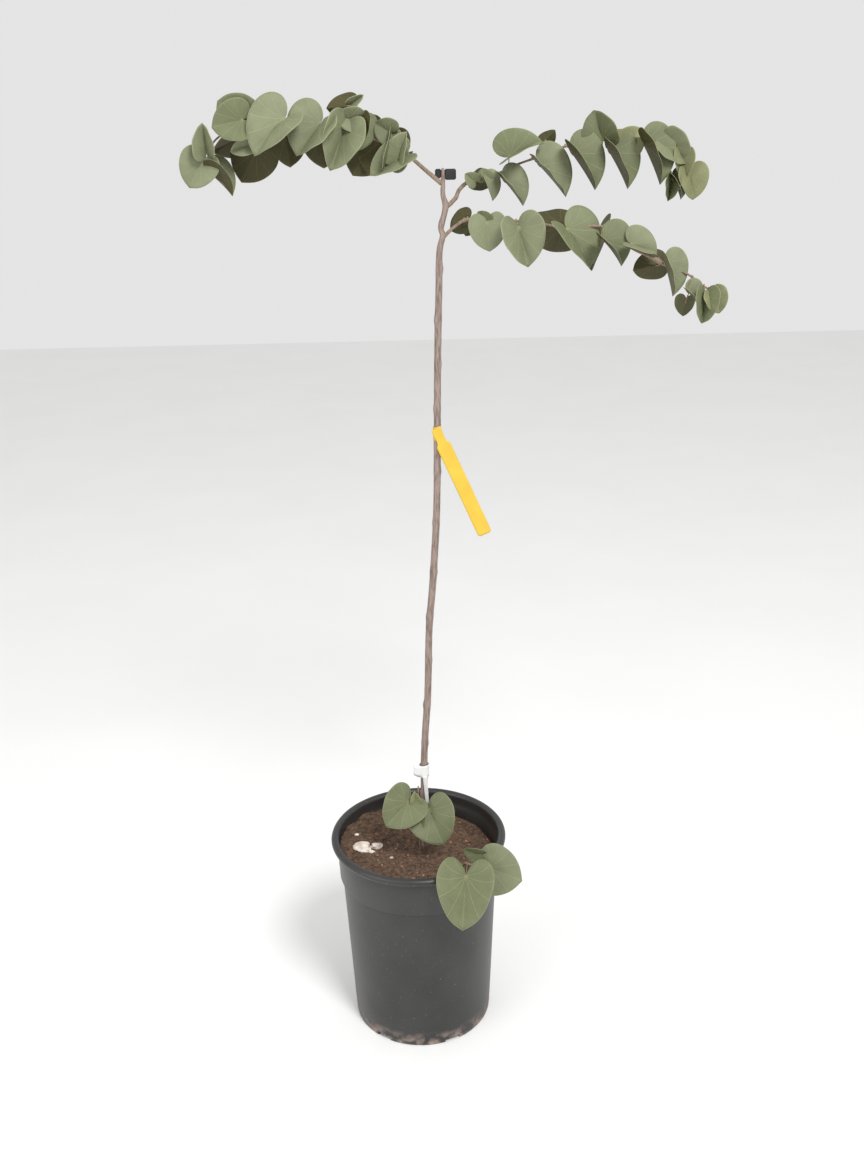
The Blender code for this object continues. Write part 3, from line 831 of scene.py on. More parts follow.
chipKinds = {
    "barkChips": {"Density": 16000.0, "Smallest": 0.0009, "Largest": 0.0036, "Flatness": 0.45, "Seed": 3,
                  "Material": finish["chipBrown"]},
    "orangeChips": {"Density": 3200.0, "Smallest": 0.0009, "Largest": 0.0036, "Flatness": 0.35, "Seed": 11,
                    "Material": finish["chipOrange"]},
    "paleFlecks": {"Density": 2200.0, "Smallest": 0.0004, "Largest": 0.0013, "Flatness": 0.5, "Seed": 23,
                   "Material": finish["chipPale"]},
}


def makeChips(name, tree, sockets, values):
    # A disc just under the soil's surface carries the scattered lumps
    sides, rings = chipSpread["sides"], chipSpread["rings"]
    points = [(0, 0, soilHeight(0, 0) - chipSpread["sunk"])]
    for ring in range(1, rings + 1):
        for k in range(sides):
            turn = math.tau * k / sides
            r = chipSpread["reach"] * ring / rings
            x, y = r * math.cos(turn), r * math.sin(turn)
            points.append((x, y, soilHeight(x, y) - chipSpread["sunk"]))
    faces = []
    for k in range(sides):
        n = (k + 1) % sides
        faces.append((0, 1 + k, 1 + n))
        for ring in range(rings - 1):
            a = 1 + ring * sides
            faces.append((a + k, a + k + sides, a + n + sides, a + n))
    chips = meshObject(name, points, faces, recalc=False)
    growOn(chips, tree, sockets, values)
    chips.data.shade_flat()
    settle(chips)


stonePlan = {
    # x, y, half width and height
    "places": (
        (-0.083, -0.013, 0.0135, 0.010),
        (-0.064, -0.004, 0.0085, 0.007),
        (-0.070, -0.020, 0.0045, 0.004),
        (-0.094, 0.020, 0.0030, 0.003),
        (-0.040, -0.034, 0.0028, 0.002),
    ),
    "bulge": 0.55,
    "bulgeScale": 1.3,
    "bulgeShift": 5.0,     # each stone takes its own part of the noise
    "rough": 0.12,
    "roughScale": 5,
    "roughShift": 3.0,
    "depthShare": 0.8,
    "heightShare": 0.6,
    "lift": 0.001,
}


def makeStones():
    p = stonePlan
    parts = []
    for number, (x, y, wide, high) in enumerate(p["places"]):
        work = bmesh.new()
        bmesh.ops.create_icosphere(work, subdivisions=3, radius=1.0)
        base = soilHeight(x, y) + p["lift"]
        bulgePlace = Vector((number * p["bulgeShift"], 0, 0))
        roughPlace = Vector((0, number * p["roughShift"], 0))
        points = []
        for vertex in work.verts:
            lump = 1 + p["bulge"] * noise.noise(vertex.co * p["bulgeScale"] + bulgePlace)
            lump += p["rough"] * noise.noise(vertex.co * p["roughScale"] + roughPlace)
            spot = vertex.co * lump
            up = spot.z * high * p["heightShare"]
            points.append(Vector((x + spot.x * wide, y + spot.y * wide * p["depthShare"], base + up)))
        faces = [tuple(vertex.index for vertex in face.verts) for face in work.faces]
        work.free()
        parts.append((points, faces, 0))
    points, faces, tints = joinParts(parts)
    settle(meshObject("paleStones", points, faces, (finish["stoneWhite"],), tints))


makeSoil()
chips, chipSockets = chipTree()
for chipName, chipValues in chipKinds.items():
    makeChips(chipName, chips, chipSockets, chipValues)
makeStones()
print("soil made")


# Trunk, boughs and shoots

trunkPlan = {
    "depth": 0.010,
    # x, z and radius from the soil to the cut tip
    "line": (
        (0.0085, 0.2793, 0.0074), (0.0088, 0.290, 0.0062), (0.0095, 0.330, 0.0055), (0.0121, 0.438, 0.0050),
        (0.0192, 0.532, 0.0050), (0.0236, 0.635, 0.0049), (0.0303, 0.705, 0.0049), (0.0376, 0.809, 0.0048),
        (0.0407, 0.926, 0.0047), (0.0432, 1.022, 0.0046), (0.0463, 1.102, 0.0044), (0.0478, 1.148, 0.0041),
        (0.0524, 1.168, 0.0037), (0.0505, 1.178, 0.0033), (0.0562, 1.202, 0.0035), (0.0535, 1.218, 0.0030),
        (0.0539, 1.231, 0.0027), (0.0540, 1.2485, 0.0019),
    ),
    # height, side (-1 left, 1 right) and swelling of each old bud scar
    "scars": (
        (0.335, 1, 0.0012), (0.368, -1, 0.0010), (0.452, 1, 0.0009), (0.514, -1, 0.0014),
        (0.585, 1, 0.0008), (0.651, -1, 0.0009), (0.718, 1, 0.0010), (0.790, -1, 0.0008),
        (0.862, 1, 0.0009), (0.948, -1, 0.0009), (1.007, 1, 0.0008), (1.064, -1, 0.0012),
        (1.128, 1, 0.0013), (1.183, -1, 0.0011), (1.205, 1, 0.0010),
    ),
    "scarLength": 0.006,
    "scarReach": 3,
    "scarAround": 0.25,    # share of the swelling that goes all the way round
    "sides": 22,
    # scale round, scale up and share of the radius
    "coarse": (2.2, 30, 0.06),
    "fine": (6, 120, 0.035),
}


def trunkRelief(place, outward, radius):
    p = trunkPlan
    relief = 0.0
    for around, up, share in (p["coarse"], p["fine"]):
        grain = noise.noise(Vector((outward.x * around, outward.y * around, place.z * up)))
        relief += grain * radius * share
    for height, side, size in p["scars"]:
        along = (place.z - height) / p["scarLength"]
        if abs(along) < p["scarReach"]:
            facing = max(0.0, outward.x * side) ** 2
            spread = p["scarAround"] + (1 - p["scarAround"]) * facing
            relief += size * spread * math.exp(-along * along)
    return relief


def makeTrunk():
    p = trunkPlan
    line = [(x, p["depth"], z, radius) for x, z, radius in p["line"]]
    points, faces = sweep(smoothLine(line, lineStep), p["sides"], trunkRelief)
    settle(meshObject("trunkBarked", points, faces, (finish["trunkBark"],)), ("trunk",))


# A fork is a place in metres; the rest of a spray is in millimetres from it, angles in degrees.
# A line holds places and radii. A leaf is its joint, its blade from joint to tip, roll, opening,
# breadth and tint.
sprays = {
    "leftSpray": {
        "nodes": ("left_mass_1", "left_mass_2", "left_mass_3", "left_mass_4"),
        "bough": "left_bough",
        "fork": (0.052, 0.010, 1.231),
        "line": (
            (0, 0, 0, 3.0), (-17, -2, 14, 2.6), (-42, -8, 35, 2.2), (-74, -13, 52, 1.9),
            (-108, -18, 63, 1.8), (-138, -20, 69, 1.7), (-188, -18, 70, 1.5), (-230, -12, 67, 1.3),
            (-264, -6, 63, 1.2), (-281, -4, 50, 1.1), (-290, -3, 35, 1.0), (-284, -2, 18, 0.9),
        ),
        "leaves": (
            ((-52, -24, 31), (11, -2, 31), 62, 84, 0.9, "glaucous"),
            ((-43, 2, 35), (-19, 0, -17), -90, 20, 1.0, "mid"),
            ((-66, -14, 30), (7, 2, 41), 128, 84, 0.9, "mid"),
            ((-61, -8, 47), (-6, 0, 11), 90, 110, 0.9, "yellowed"),
            ((-46, -20, 33), (-41, -4, -21), 118, 92, 0.8, "glaucous"),
            ((-68, -1, 58), (-22, 0, -46), -90, 120, 1.0, "deep"),
            ((-61, -4, 61), (-19, 0, 11), 90, 120, 1.1, "mid"),
            ((-84, 8, 51), (-26, 0, -40), -90, 150, 1.0, "deep"),
            ((-99, -26, 76), (-11, -4, -36), 18, 60, 1.0, "mid"),
            ((-100, -26, 76), (-26, 0, 5), 90, 95, 1.0, "glaucous"),
            ((-106, -10, 94), (15, 0, 10), 90, 50, 1.0, "glaucous"),
            ((-109, -2, 92), (-29, 0, -2), -90, 100, 1.0, "deep"),
            ((-115, -26, 68), (-20, -6, -49), 84, 70, 1.0, "glaucous"),
            ((-143, -28, 74), (-31, -8, -37), 125, 105, 1.12, "glaucous"),
            ((-144, -8, 66), (0, 0, -45), -90, 130, 1.0, "deep"),
            ((-186, -33, 79), (-38, -6, -41), 125, 108, 1.0, "glaucous"),
            ((-189, -8, 65), (4, 0, -42), -90, 110, 1.0, "deep"),
            ((-235, -20, 80), (-32, 4, 21), 90, 150, 1.0, "mid"),
            ((-237, -24, 79), (-38, 0, -8), 100, 130, 1.0, "mid"),
            ((-286, -10, 44), (-2, 0, 33), 90, 60, 1.0, "glaucous"),
            ((-291, -12, 34), (-19, 0, -32), 95, 125, 1.0, "glaucous"),
            ((-285, -9, 19), (27, 0, -28), 15, 50, 1.0, "mid"),
            ((-227, 6, 44), (-21, 0, -38), -90, 150, 1.0, "deep"),
            ((-231, -22, 50), (-24, 0, -7), 90, 80, 0.8, "glaucous"),
            ((-233, 2, 64), (-49, 0, -21), -80, 70, 0.9, "deep"),
        ),
    },
    "upperSpray": {
        "nodes": ("upper_mass_1", "upper_mass_2", "upper_mass_3", "upper_mass_4"),
        "bough": "upper_bough",
        "fork": (0.058, 0.010, 1.203),
        "line": (
            (0, 0, 0, 2.8), (11, 2, 10, 2.7), (16, 3, 20, 2.5), (27, 5, 29, 2.3), (37, 6, 32, 2.0),
            (63, 10, 37, 1.8), (84, 14, 46, 1.5), (112, 19, 55, 1.3), (155, 25, 69, 1.3),
            (195, 30, 74, 1.2), (244, 36, 73, 1.2), (275, 40, 71, 1.1), (294, 41, 60, 1.0),
            (310, 44, 33, 0.9),
        ),
        "leaves": (
            ((35, -2, 30), (-12, 0, 9), 90, 120, 1.0, "mid"),
            ((47, 15, 32), (-19, 0, -10), -90, 120, 1.0, "deep"),
            ((47, -2, 32), (10, -2, -26), 38, 96, 1.0, "glaucous"),
            ((48, 0, 33), (-3, 0, 12), 90, 150, 1.2, "mid"),
            ((71, 3, 30), (24, -4, -31), 38, 80, 1.0, "glaucous"),
            ((78, 6, 57), (43, 0, 15), 42, 84, 1.0, "mid"),
            ((123, 27, 73), (14, 0, 14), -100, 90, 1.0, "deep"),
            ((115, 11, 47), (34, -4, -39), 38, 92, 1.0, "glaucous"),
            ((156, 16, 60), (30, -4, -45), 38, 78, 1.0, "mid"),
            ((196, 38, 74), (-12, 6, 35), 73, 110, 1.0, "deep"),
            ((203, 22, 61), (25, -2, -46), 38, 76, 1.0, "mid"),
            ((225, 46, 66), (19, 4, 21), 90, 140, 1.0, "yellowed"),
            ((246, 27, 69), (23, -5, -50), 38, 76, 1.0, "mid"),
            ((276, 48, 69), (29, 2, -25), 80, 80, 1.0, "glaucous"),
            ((298, 50, 54), (1, 0, -29), 90, 80, 1.0, "yellowed"),
            ((286, 33, 26), (12, 0, -26), 38, 84, 1.0, "mid"),
            ((286, 50, 26), (-4, 0, -28), 90, 45, 1.0, "deep"),
            ((308, 38, 33), (6, 0, -34), 75, 100, 1.0, "yellowed"),
        ),
    },
    "lowerSpray": {
        "nodes": ("lower_mass_1", "lower_mass_2", "lower_mass_3", "lower_mass_4"),
        "bough": "lower_bough",
        "fork": (0.054, 0.010, 1.167),
        "line": (
            (0, 0, 0, 2.3), (13, -4, 12, 2.0), (30, -7, 21, 1.8), (61, -13, 20, 1.6), (110, -24, 17, 1.5),
            (147, -32, 11, 1.5), (192, -42, 12, 1.5), (212, -46, 0, 1.5), (229, -50, -14, 1.7),
            (247, -54, -22, 2.4), (262, -57, -30, 2.4), (272, -60, -36, 1.3), (296, -64, -45, 1.2),
            (313, -68, -58, 1.1), (328, -71, -65, 0.9),
        ),
        "leaves": (
            ((31, 3, 20), (-23, 0, -13), -90, 110, 1.0, "deep"),
            ((35, 0, 17), (-8, 0, -17), -90, 120, 1.0, "deep"),
            ((52, -18, 18), (-10, 2, 13), 90, 130, 1.0, "deep"),
            ((53, -20, 18), (3, -4, -35), 90, 135, 1.0, "glaucous"),
            ((91, -28, 12), (12, -6, -48), 78, 84, 1.0, "glaucous"),
            ((150, -21, 12), (-56, 0, 4), -72, 83, 1.0, "deep"),
            ((149, -41, 10), (29, -4, -47), 48, 110, 1.0, "mid"),
            ((192, -25, 8), (-8, 4, -52), -100, 60, 1.0, "deep"),
            ((192, -50, -3), (24, -2, -32), 40, 84, 1.25, "mid"),
            ((226, -58, -8), (32, 0, -14), 44, 90, 1.0, "glaucous"),
            ((263, -48, -35), (-32, 0, -6), -90, 100, 1.0, "deep"),
            ((266, -66, -30), (12, 0, -41), 36, 96, 1.0, "glaucous"),
            ((293, -74, -63), (15, 0, -18), 38, 92, 1.25, "glaucous"),
            ((315, -77, -67), (-2, 0, -36), 90, 66, 1.0, "mid"),
            ((323, -78, -67), (11, 0, -24), 74, 98, 1.0, "yellowed"),
            ((297, -56, -77), (-3, 0, -20), -90, 110, 1.0, "glaucous"),
        ),
    },
    "footSpray": {
        "nodes": ("foot_mass",),
        "bough": "foot_shoot",
        "fork": (0.003, -0.004, 0.2795),
        "line": ((0, 0, 0, 1.7), (-1, -4, 36, 1.5), (-2, -8, 71, 1.4), (-1, -8, 113, 1.1)),
        "leaves": (
            ((-15, -12, 93), (-34, -22, -29), 112, 135, 1.0, "mid"),
            ((14, -18, 80), (19, -26, -45), 84, 135, 1.0, "mid"),
            ((-4, 2, 92), (-3, 2, 16), 90, 100, 1.0, "yellowed"),
            ((-3, -26, 72), (-3, -8, -27), 80, 70, 0.8, "mid"),
        ),
    },
    "rimSpray": {
        "nodes": ("rim_mass",),
        "bough": "rim_shoot",
        "fork": (0.050, -0.050, 0.2738),
        "line": (
            (0, 0, 0, 2.0), (9, -28, 20, 1.9), (17, -41, 37.5, 1.8), (25, -48, 40, 1.8), (36, -43, 41, 1.7),
            (45, -37, 42, 1.5),
        ),
        "leaves": (
            ((17, -70, 36), (-7, -43, -60), 96, 120, 0.86, "mid"),
            ((49, -52, 37), (47, -20, -10), 62, 165, 1.0, "glaucous"),
            ((39, -40, 57), (-24, 8, 4), 80, 120, 0.9, "deep"),
        ),
    },
}

bladeShape = {
    # degrees from the blade's axis, and how far the margin lies from the joint there
    "outline": (
        (0, 1.0), (6, 0.955), (14, 0.925), (28, 0.865), (45, 0.80), (68, 0.735), (90, 0.69), (112, 0.62),
        (130, 0.52), (146, 0.36), (158, 0.20), (168, 0.08),
    ),
    "tipDegrees": 4,       # the outline stays sharp this near the tip
    "softening": 7.0,
    "softShare": 0.7,
    "columns": 24,
    "rows": 11,
    "rowSpacing": 0.85,
    "thick": 0.00045,
    # each leaf draws its own share of the next three, which are shares of its length
    "bow": 0.035,
    "bowDraw": (0.3, 1.6),
    "recurve": 0.16,
    "recurveDraw": (0.2, 1.5),
    "ripple": 0.012,
    "rippleDraw": (0.6, 1.5),
    "waves": (3, 4, 5),
    "waveTurn": 1.7,
    "calmDegrees": 20,     # the ripple fades towards the fold
    "openingDraw": 3,
    "widestOpening": 165,
    "veinStep": 25.0,
    "clear": 0.0075,       # least depth between a joint and its bough
}


def outlineReach(degrees):
    table = bladeShape["outline"]
    for (a0, r0), (a1, r1) in zip(table, table[1:]):
        if degrees <= a1:
            share = (degrees - a0) / (a1 - a0)
            return r0 + (r1 - r0) * share
    return table[-1][1]


def smoothReach(degrees):
    # Softens the corners between the outline's points, but keeps the tip
    s = bladeShape
    if degrees < s["tipDegrees"]:
        return outlineReach(degrees)
    spread = min(s["softening"], degrees * s["softShare"])
    last = s["outline"][-1][0]
    marks = [min(last, max(0.0, degrees + spread * share)) for share in (-1.0, -0.5, 0.0, 0.5, 1.0)]
    return sum(outlineReach(mark) for mark in marks) / len(marks)


def bladeMesh(joint, length, roll, opening, breadth, topTint, underTint, draw):
    # One folded leaf as a closed thin sheet, with its own vein map
    s = bladeShape
    along = length.normalized()
    reach = length.length
    side = Vector((0, -1, 0)).cross(along).normalized()
    front = along.cross(side)
    lean = math.radians(roll)
    up = side * math.cos(lean) + front * math.sin(lean)
    columns, rows = s["columns"], s["rows"]
    lastAngle = s["outline"][-1][0]
    phase = draw.uniform(0, math.tau)
    bow = s["bow"] * draw.uniform(*s["bowDraw"])
    recurve = s["recurve"] * draw.uniform(*s["recurveDraw"])
    ripple = s["ripple"] * draw.uniform(*s["rippleDraw"])
    waves = draw.choice(s["waves"])
    points = [joint + up * s["thick"] / 2, joint - up * s["thick"] / 2]
    maps = [(0.0, 0.0), (0.0, 0.0)]
    faces, tints = [], []
    grid = {}

    def surface(degrees, share, outward, sign):
        # Place and normal in one half of the blade; on the fold there is no outward
        turn = math.radians(degrees)
        radius = share * smoothReach(degrees)
        a = radius * math.cos(turn)
        w = radius * math.sin(turn) * breadth
        place = joint + along * (a * reach)
        lift = bow * 4 * a * (1 - a) - recurve * w * w
        if outward is None:
            return place + up * (lift * reach), up
        normal = (up - outward * up.dot(outward)).normalized()
        calm = min(1.0, degrees / s["calmDegrees"])
        lift += ripple * share ** 3 * math.sin(waves * turn * s["waveTurn"] + phase * sign) * calm
        return place + outward * (w * reach) + normal * (lift * reach), normal

    def addPair(place, normal, entry):
        # The same spot on the upper and on the under face
        for level in (s["thick"] / 2, -s["thick"] / 2):
            points.append(place + normal * level)
            maps.append(entry)
        return len(points) - 2, len(points) - 1

    def addFace(tint, *corners):
        faces.append(corners)
        tints.append(tint)

    for row in range(1, rows + 1):
        share = (row / rows) ** s["rowSpacing"]
        grid[1, 0, row] = grid[-1, 0, row] = addPair(*surface(0.0, share, None, 1), (0.0, share))
        for sign in (1, -1):
            turn = lean + sign * math.radians(opening) / 2
            outward = side * math.cos(turn) + front * math.sin(turn)
            for column in range(1, columns + 1):
                degrees = lastAngle * (column / columns)
                spot, normal = surface(degrees, share, outward, sign)
                grid[sign, column, row] = addPair(spot, normal, (degrees / s["veinStep"] * sign, share))
    for sign in (1, -1):
        for face, tint in ((0, topTint), (1, underTint)):
            for column in range(columns):
                near = [grid[sign, column, row][face] for row in range(1, rows + 1)]
                far = [grid[sign, column + 1, row][face] for row in range(1, rows + 1)]
                addFace(tint, face, near[0], far[0])
                for row in range(rows - 1):
                    addFace(tint, near[row], near[row + 1], far[row + 1], far[row])
        edge = [grid[sign, column, rows] for column in range(columns + 1)]
        last = [(0, 1)] + [grid[sign, columns, row] for row in range(1, rows + 1)]
        for border in (edge, last):
            for (top, under), (nextTop, nextUnder) in zip(border, border[1:]):
                addFace(topTint, top, nextTop, nextUnder, under)
    return points, faces, tints, maps


stalkPlan = {
    "sides": 7,
    "endRadius": 0.0010,
    "nearRadius": 0.0007,
    "middleRadius": 0.0006,
    "nearShare": 0.6,
    "pastJoint": 0.004,    # it runs on along the fold, down to the last radius
    "lastRadius": 0.0005,
    # the most it arches up and forward, and the share of its span
    "rise": (0.004, 0.2),
    "forward": (0.003, 0.15),
}


def stalkMesh(root, joint, along, towards):
    # A leaf stalk that swells where it meets the blade
    p = stalkPlan
    span = (joint - root).length
    rise, forward = [min(most, span * share) for most, share in (p["rise"], p["forward"])]
    middle = root.lerp(joint, 0.5) + Vector((0, 0, rise)) + towards * forward
    line = [
        (*root, p["endRadius"]),
        (*root.lerp(middle, p["nearShare"]), p["nearRadius"]),
        (*middle, p["middleRadius"]),
        (*middle.lerp(joint, p["nearShare"]), p["nearRadius"]),
        (*joint, p["endRadius"]),
        (*(joint + along * p["pastJoint"]), p["lastRadius"]),
    ]
    return sweep(smoothLine(line, lineStep), p["sides"])


boughPlan = {
    "sides": 14,
    # scale, scale round and share of the radius
    "coarse": (160, 2, 0.10),
    "fine": (480, 3, 0.05),
    "rootBack": 2,         # a stalk leaves the bough this many rings before its joint
    "nodeReach": 1.2,
    "nodeSwelling": 0.28,
    "nodeMost": 1.5,
}


def boughRelief(place, outward, radius):
    relief = 0.0
    for scale, around, share in (boughPlan["coarse"], boughPlan["fine"]):
        relief += noise.noise(place * scale + outward * around) * radius * share
    return relief


def makeSpray(name, plan):
    # One bough with its leaves and stalks; gives back the places of its buds
    b, s = boughPlan, bladeShape
    draw = random.Random(name)
    fork = Vector(plan["fork"])
    line = []
    for x, y, z, radius in plan["line"]:
        line.append((fork.x + x * mm, fork.y + y * mm, fork.z + z * mm, radius * mm))
    samples = smoothLine(line, lineStep)
    blades, maps, stalks, roots = [], [], [], []
    for joint, length, roll, opening, breadth, tint in plan["leaves"]:
        joint = fork + Vector(joint) * mm
        length = Vector(length) * mm
        nearest = min(range(len(samples)), key=lambda index: (samples[index][0] - joint).length)
        boughDepth = samples[nearest][0].y
        if math.sin(math.radians(roll)) > 0:
            joint.y = min(joint.y, boughDepth - s["clear"])
            towards = Vector((0, -1, 0))
        else:
            joint.y = max(joint.y, boughDepth + s["clear"])
            towards = Vector((0, 1, 0))
        root = max(0, nearest - b["rootBack"])
        roots.append(root)
        # the underside takes an under tint, which is partly its own colour and partly painted shade
        under = "underPale" if tint in ("glaucous", "yellowed") else "under"
        opening = min(s["widestOpening"], opening + draw.uniform(-s["openingDraw"], s["openingDraw"]))
        points, faces, tints, leafMaps = bladeMesh(
            joint, length, roll, opening, breadth, tintOrder.index(tint), tintOrder.index(under), draw)
        blades.append((points, faces, tints))
        maps.extend(leafMaps)
        stalks.append((*stalkMesh(samples[root][0], joint, length.normalized(), towards), 0))

    # the bough swells a little at each stalk
    swollen = []
    for index, (place, radius) in enumerate(samples):
        swell = sum(math.exp(-((index - root) / b["nodeReach"]) ** 2) for root in roots)
        swollen.append((place, radius * (1 + b["nodeSwelling"] * min(b["nodeMost"], swell))))
    points, faces = sweep(swollen, b["sides"], boughRelief)
    bough = meshObject(plan["bough"] + "Barked", points, faces, (finish["boughBark"],))
    settle(bough, (plan["bough"],))

    points, faces, tints = joinParts(blades)
    leaves = meshObject(name + "Blades", points, faces, leafMaterials, tints)
    layer = leaves.data.uv_layers.new(name="leafMap")
    for loop in leaves.data.loops:
        layer.data[loop.index].uv = maps[loop.vertex_index]
    settle(leaves, plan["nodes"])

    points, faces, tints = joinParts(stalks)
    settle(meshObject(name + "Stalks", points, faces, (finish["stalkSkin"],), tints))
    return [samples[root][0] + Vector((0, 0, samples[root][1])) for root in roots]


budShape = {
    "segments": 8,
    "rings": 6,
    "tilt": 0.9,
}

budValues = {"Bud Width": 0.0010, "Bud Length": 0.0022, "Seed": 5, "Material": finish["boughBark"]}


def budTree():
    # Puts an oval bud on every given point
    tree, source, sockets = newGeometryTree("sideBuds", (
        ("Bud Width", "NodeSocketFloat"),
        ("Bud Length", "NodeSocketFloat"),
        ("Seed", "NodeSocketInt"),
        ("Material", "NodeSocketMaterial"),
    ))
    dots = addNode(tree, "GeometryNodeMeshToPoints")
    ballValues = {"Segments": budShape["segments"], "Rings": budShape["rings"], "Radius": 1.0}
    ball = addNode(tree, "GeometryNodeMeshUVSphere", ballValues)
    stretch = addNode(tree, "ShaderNodeCombineXYZ")
    shape = addNode(tree, "GeometryNodeTransform")
    wire(
        tree,
        (source, "Geometry", dots, "Mesh"),
        (source, "Bud Width", stretch, "X"),
        (source, "Bud Width", stretch, "Y"),
        (source, "Bud Length", stretch, "Z"),
        (ball, "Mesh", shape, "Geometry"),
        (stretch, "Vector", shape, "Scale"),
    )
    placeOn(tree, source, dots, shape, budShape["tilt"])
    return tree, sockets


makeTrunk()
budPlaces = []
for sprayName, sprayPlan in sprays.items():
    budPlaces.extend(makeSpray(sprayName, sprayPlan))
sideBuds = meshObject("sideBuds", budPlaces, [], smooth=False, recalc=False)
growOn(sideBuds, *budTree(), budValues)
sideBuds.data.shade_smooth()
settle(sideBuds)
print("plant made")


# Label, foot band and top clip

loopPlan = {
    "sides": 40,
    "rows": 6,
}


def ribbonLoop(centre, radius, height, thick, tilt):
    # A collar round the trunk; tilt is its rise to the right
    sides, rows = loopPlan["sides"], loopPlan["rows"]
    points, faces = [], []
    for shell in (radius, radius - thick):
        for row in range(rows + 1):
            for c, s in ringTurns(sides):
                z = height * (row / rows - 0.5) + tilt * shell * c
                points.append((centre[0] + shell * c, centre[1] + shell * s, centre[2] + z))
    layer = (rows + 1) * sides
    top = rows * sides
    for k in range(sides):
        n = (k + 1) % sides
        for a in range(0, top, sides):
            faces.append((a + k, a + n, a + n + sides, a + k + sides))
            faces.append((layer + a + k, layer + a + k + sides, layer + a + n + sides, layer + a + n))
        faces.append((k, layer + k, layer + n, n))
        faces.append((top + k, top + n, layer + top + n, layer + top + k))
    return points, faces


def bentStrip(outline, place, columns, thick):
    # Lofts left and right edges into a thin closed strip
    points, faces = [], []
    for level in (-thick / 2, thick / 2):
        for low, high, run in outline:
            for column in range(columns + 1):
                points.append(place(low + (high - low) * column / columns, run, level))
    width = columns + 1
    layer = len(outline) * width
    for row in range(len(outline) - 1):
        for column in range(columns):
            a = row * width + column
            faces.append((a, a + 1, a + 1 + width, a + width))
            faces.append((layer + a, layer + a + width, layer + a + 1 + width, layer + a + 1))
        for column in (0, columns):
            a = row * width + column
            faces.append((a, a + width, layer + a + width, layer + a))
    for row in (0, len(outline) - 1):
        for column in range(columns):
            a = row * width + column
            faces.append((a, a + 1, layer + a + 1, layer + a))
    return points, faces


labelPlan = {
    "head": (0.0385, 0.0031, 0.922),
    "slope": math.radians(23.7),
    "neckHalf": 0.0065,
    "neckEnd": 0.020,
    "notchPlace": 0.0145,  # the neck is nipped in here
    "notchReach": 0.002,
    "notchDepth": 0.0014,
    "shoulder": 0.005,
    "stripHalf": 0.00975,
    "stripEnd": 0.160,
    "corner": 0.003,
    "thick": 0.0004,
    "bend": 0.004,
    "wave": 0.0012,
    "waveTurn": 5,
    "cup": 0.0006,
    "steps": 60,
    "columns": 8,
    "loopX": 0.0404,
    "loopZ": 0.915,
    "loopRadius": 0.0056,
    "loopHeight": 0.0185,
    "loopThick": 0.0005,
    "loopTilt": 0.25,
}


def makeLabel():
    p = labelPlan
    down = Vector((math.sin(p["slope"]), 0, -math.cos(p["slope"])))
    across = Vector((math.cos(p["slope"]), 0, math.sin(p["slope"])))
    head = Vector(p["head"])
    outline = []
    for step in range(p["steps"] + 1):
        run = p["stripEnd"] * step / p["steps"]
        if run < p["neckEnd"]:
            nip = max(0.0, 1 - abs(run - p["notchPlace"]) / p["notchReach"])
            half = p["neckHalf"] - p["notchDepth"] * nip
        else:
            share = min(1.0, (run - p["neckEnd"]) / p["shoulder"])
            half = p["neckHalf"] + (p["stripHalf"] - p["neckHalf"]) * share * share * (3 - 2 * share)
        left = p["stripEnd"] - run
        if left < p["corner"]:
            half -= p["corner"] - math.sqrt(max(0.0, p["corner"] ** 2 - (p["corner"] - left) ** 2))
        outline.append((-half, half, run))

    def place(a, run, level):
        share = run / p["stripEnd"]
        out = p["wave"] * math.sin(share * p["waveTurn"]) - p["bend"] * share * share
        out -= p["cup"] * (a / p["stripHalf"]) ** 2
        return head + across * a + down * run + Vector((0, out + level, 0))

    strip = bentStrip(outline, place, p["columns"], p["thick"])
    centre = (p["loopX"], trunkPlan["depth"], p["loopZ"])
    loop = ribbonLoop(centre, p["loopRadius"], p["loopHeight"], p["loopThick"], p["loopTilt"])
    points, faces, tints = joinParts([(*strip, 0), (*loop, 0)])
    settle(meshObject("hangingLabel", points, faces, (finish["labelPlastic"],), tints), ("label",))


bandPlan = {
    "centre": (0.0110, 0.010, 0.407),
    "radius": 0.0074,
    "height": 0.0195,
    "thick": 0.0005,
    "tilt": 0.12,
    "columns": 4,
    "flagLeft": -0.0155,
    "flagHalf": 0.0090,
    "flagUneven": 0.0010,
    "flagNarrowing": 0.0008,
    "flagInset": 0.0016,
    "flagCurl": 0.0015,
    "flagRise": 0.002,
    "flagSteps": 8,
    "tailWidth": 0.0066,
    "tailNarrowing": 0.25,
    "tailDrop": 0.006,     # starts this far under the middle of the loop
    "tailEnd": 0.354,
    "tailRight": 0.001,
    "tailLean": 0.0025,
    "tailProud": 0.0006,
    "tailWave": 0.001,
    "tailWaveTurn": 4,
    "tailSteps": 14,
}


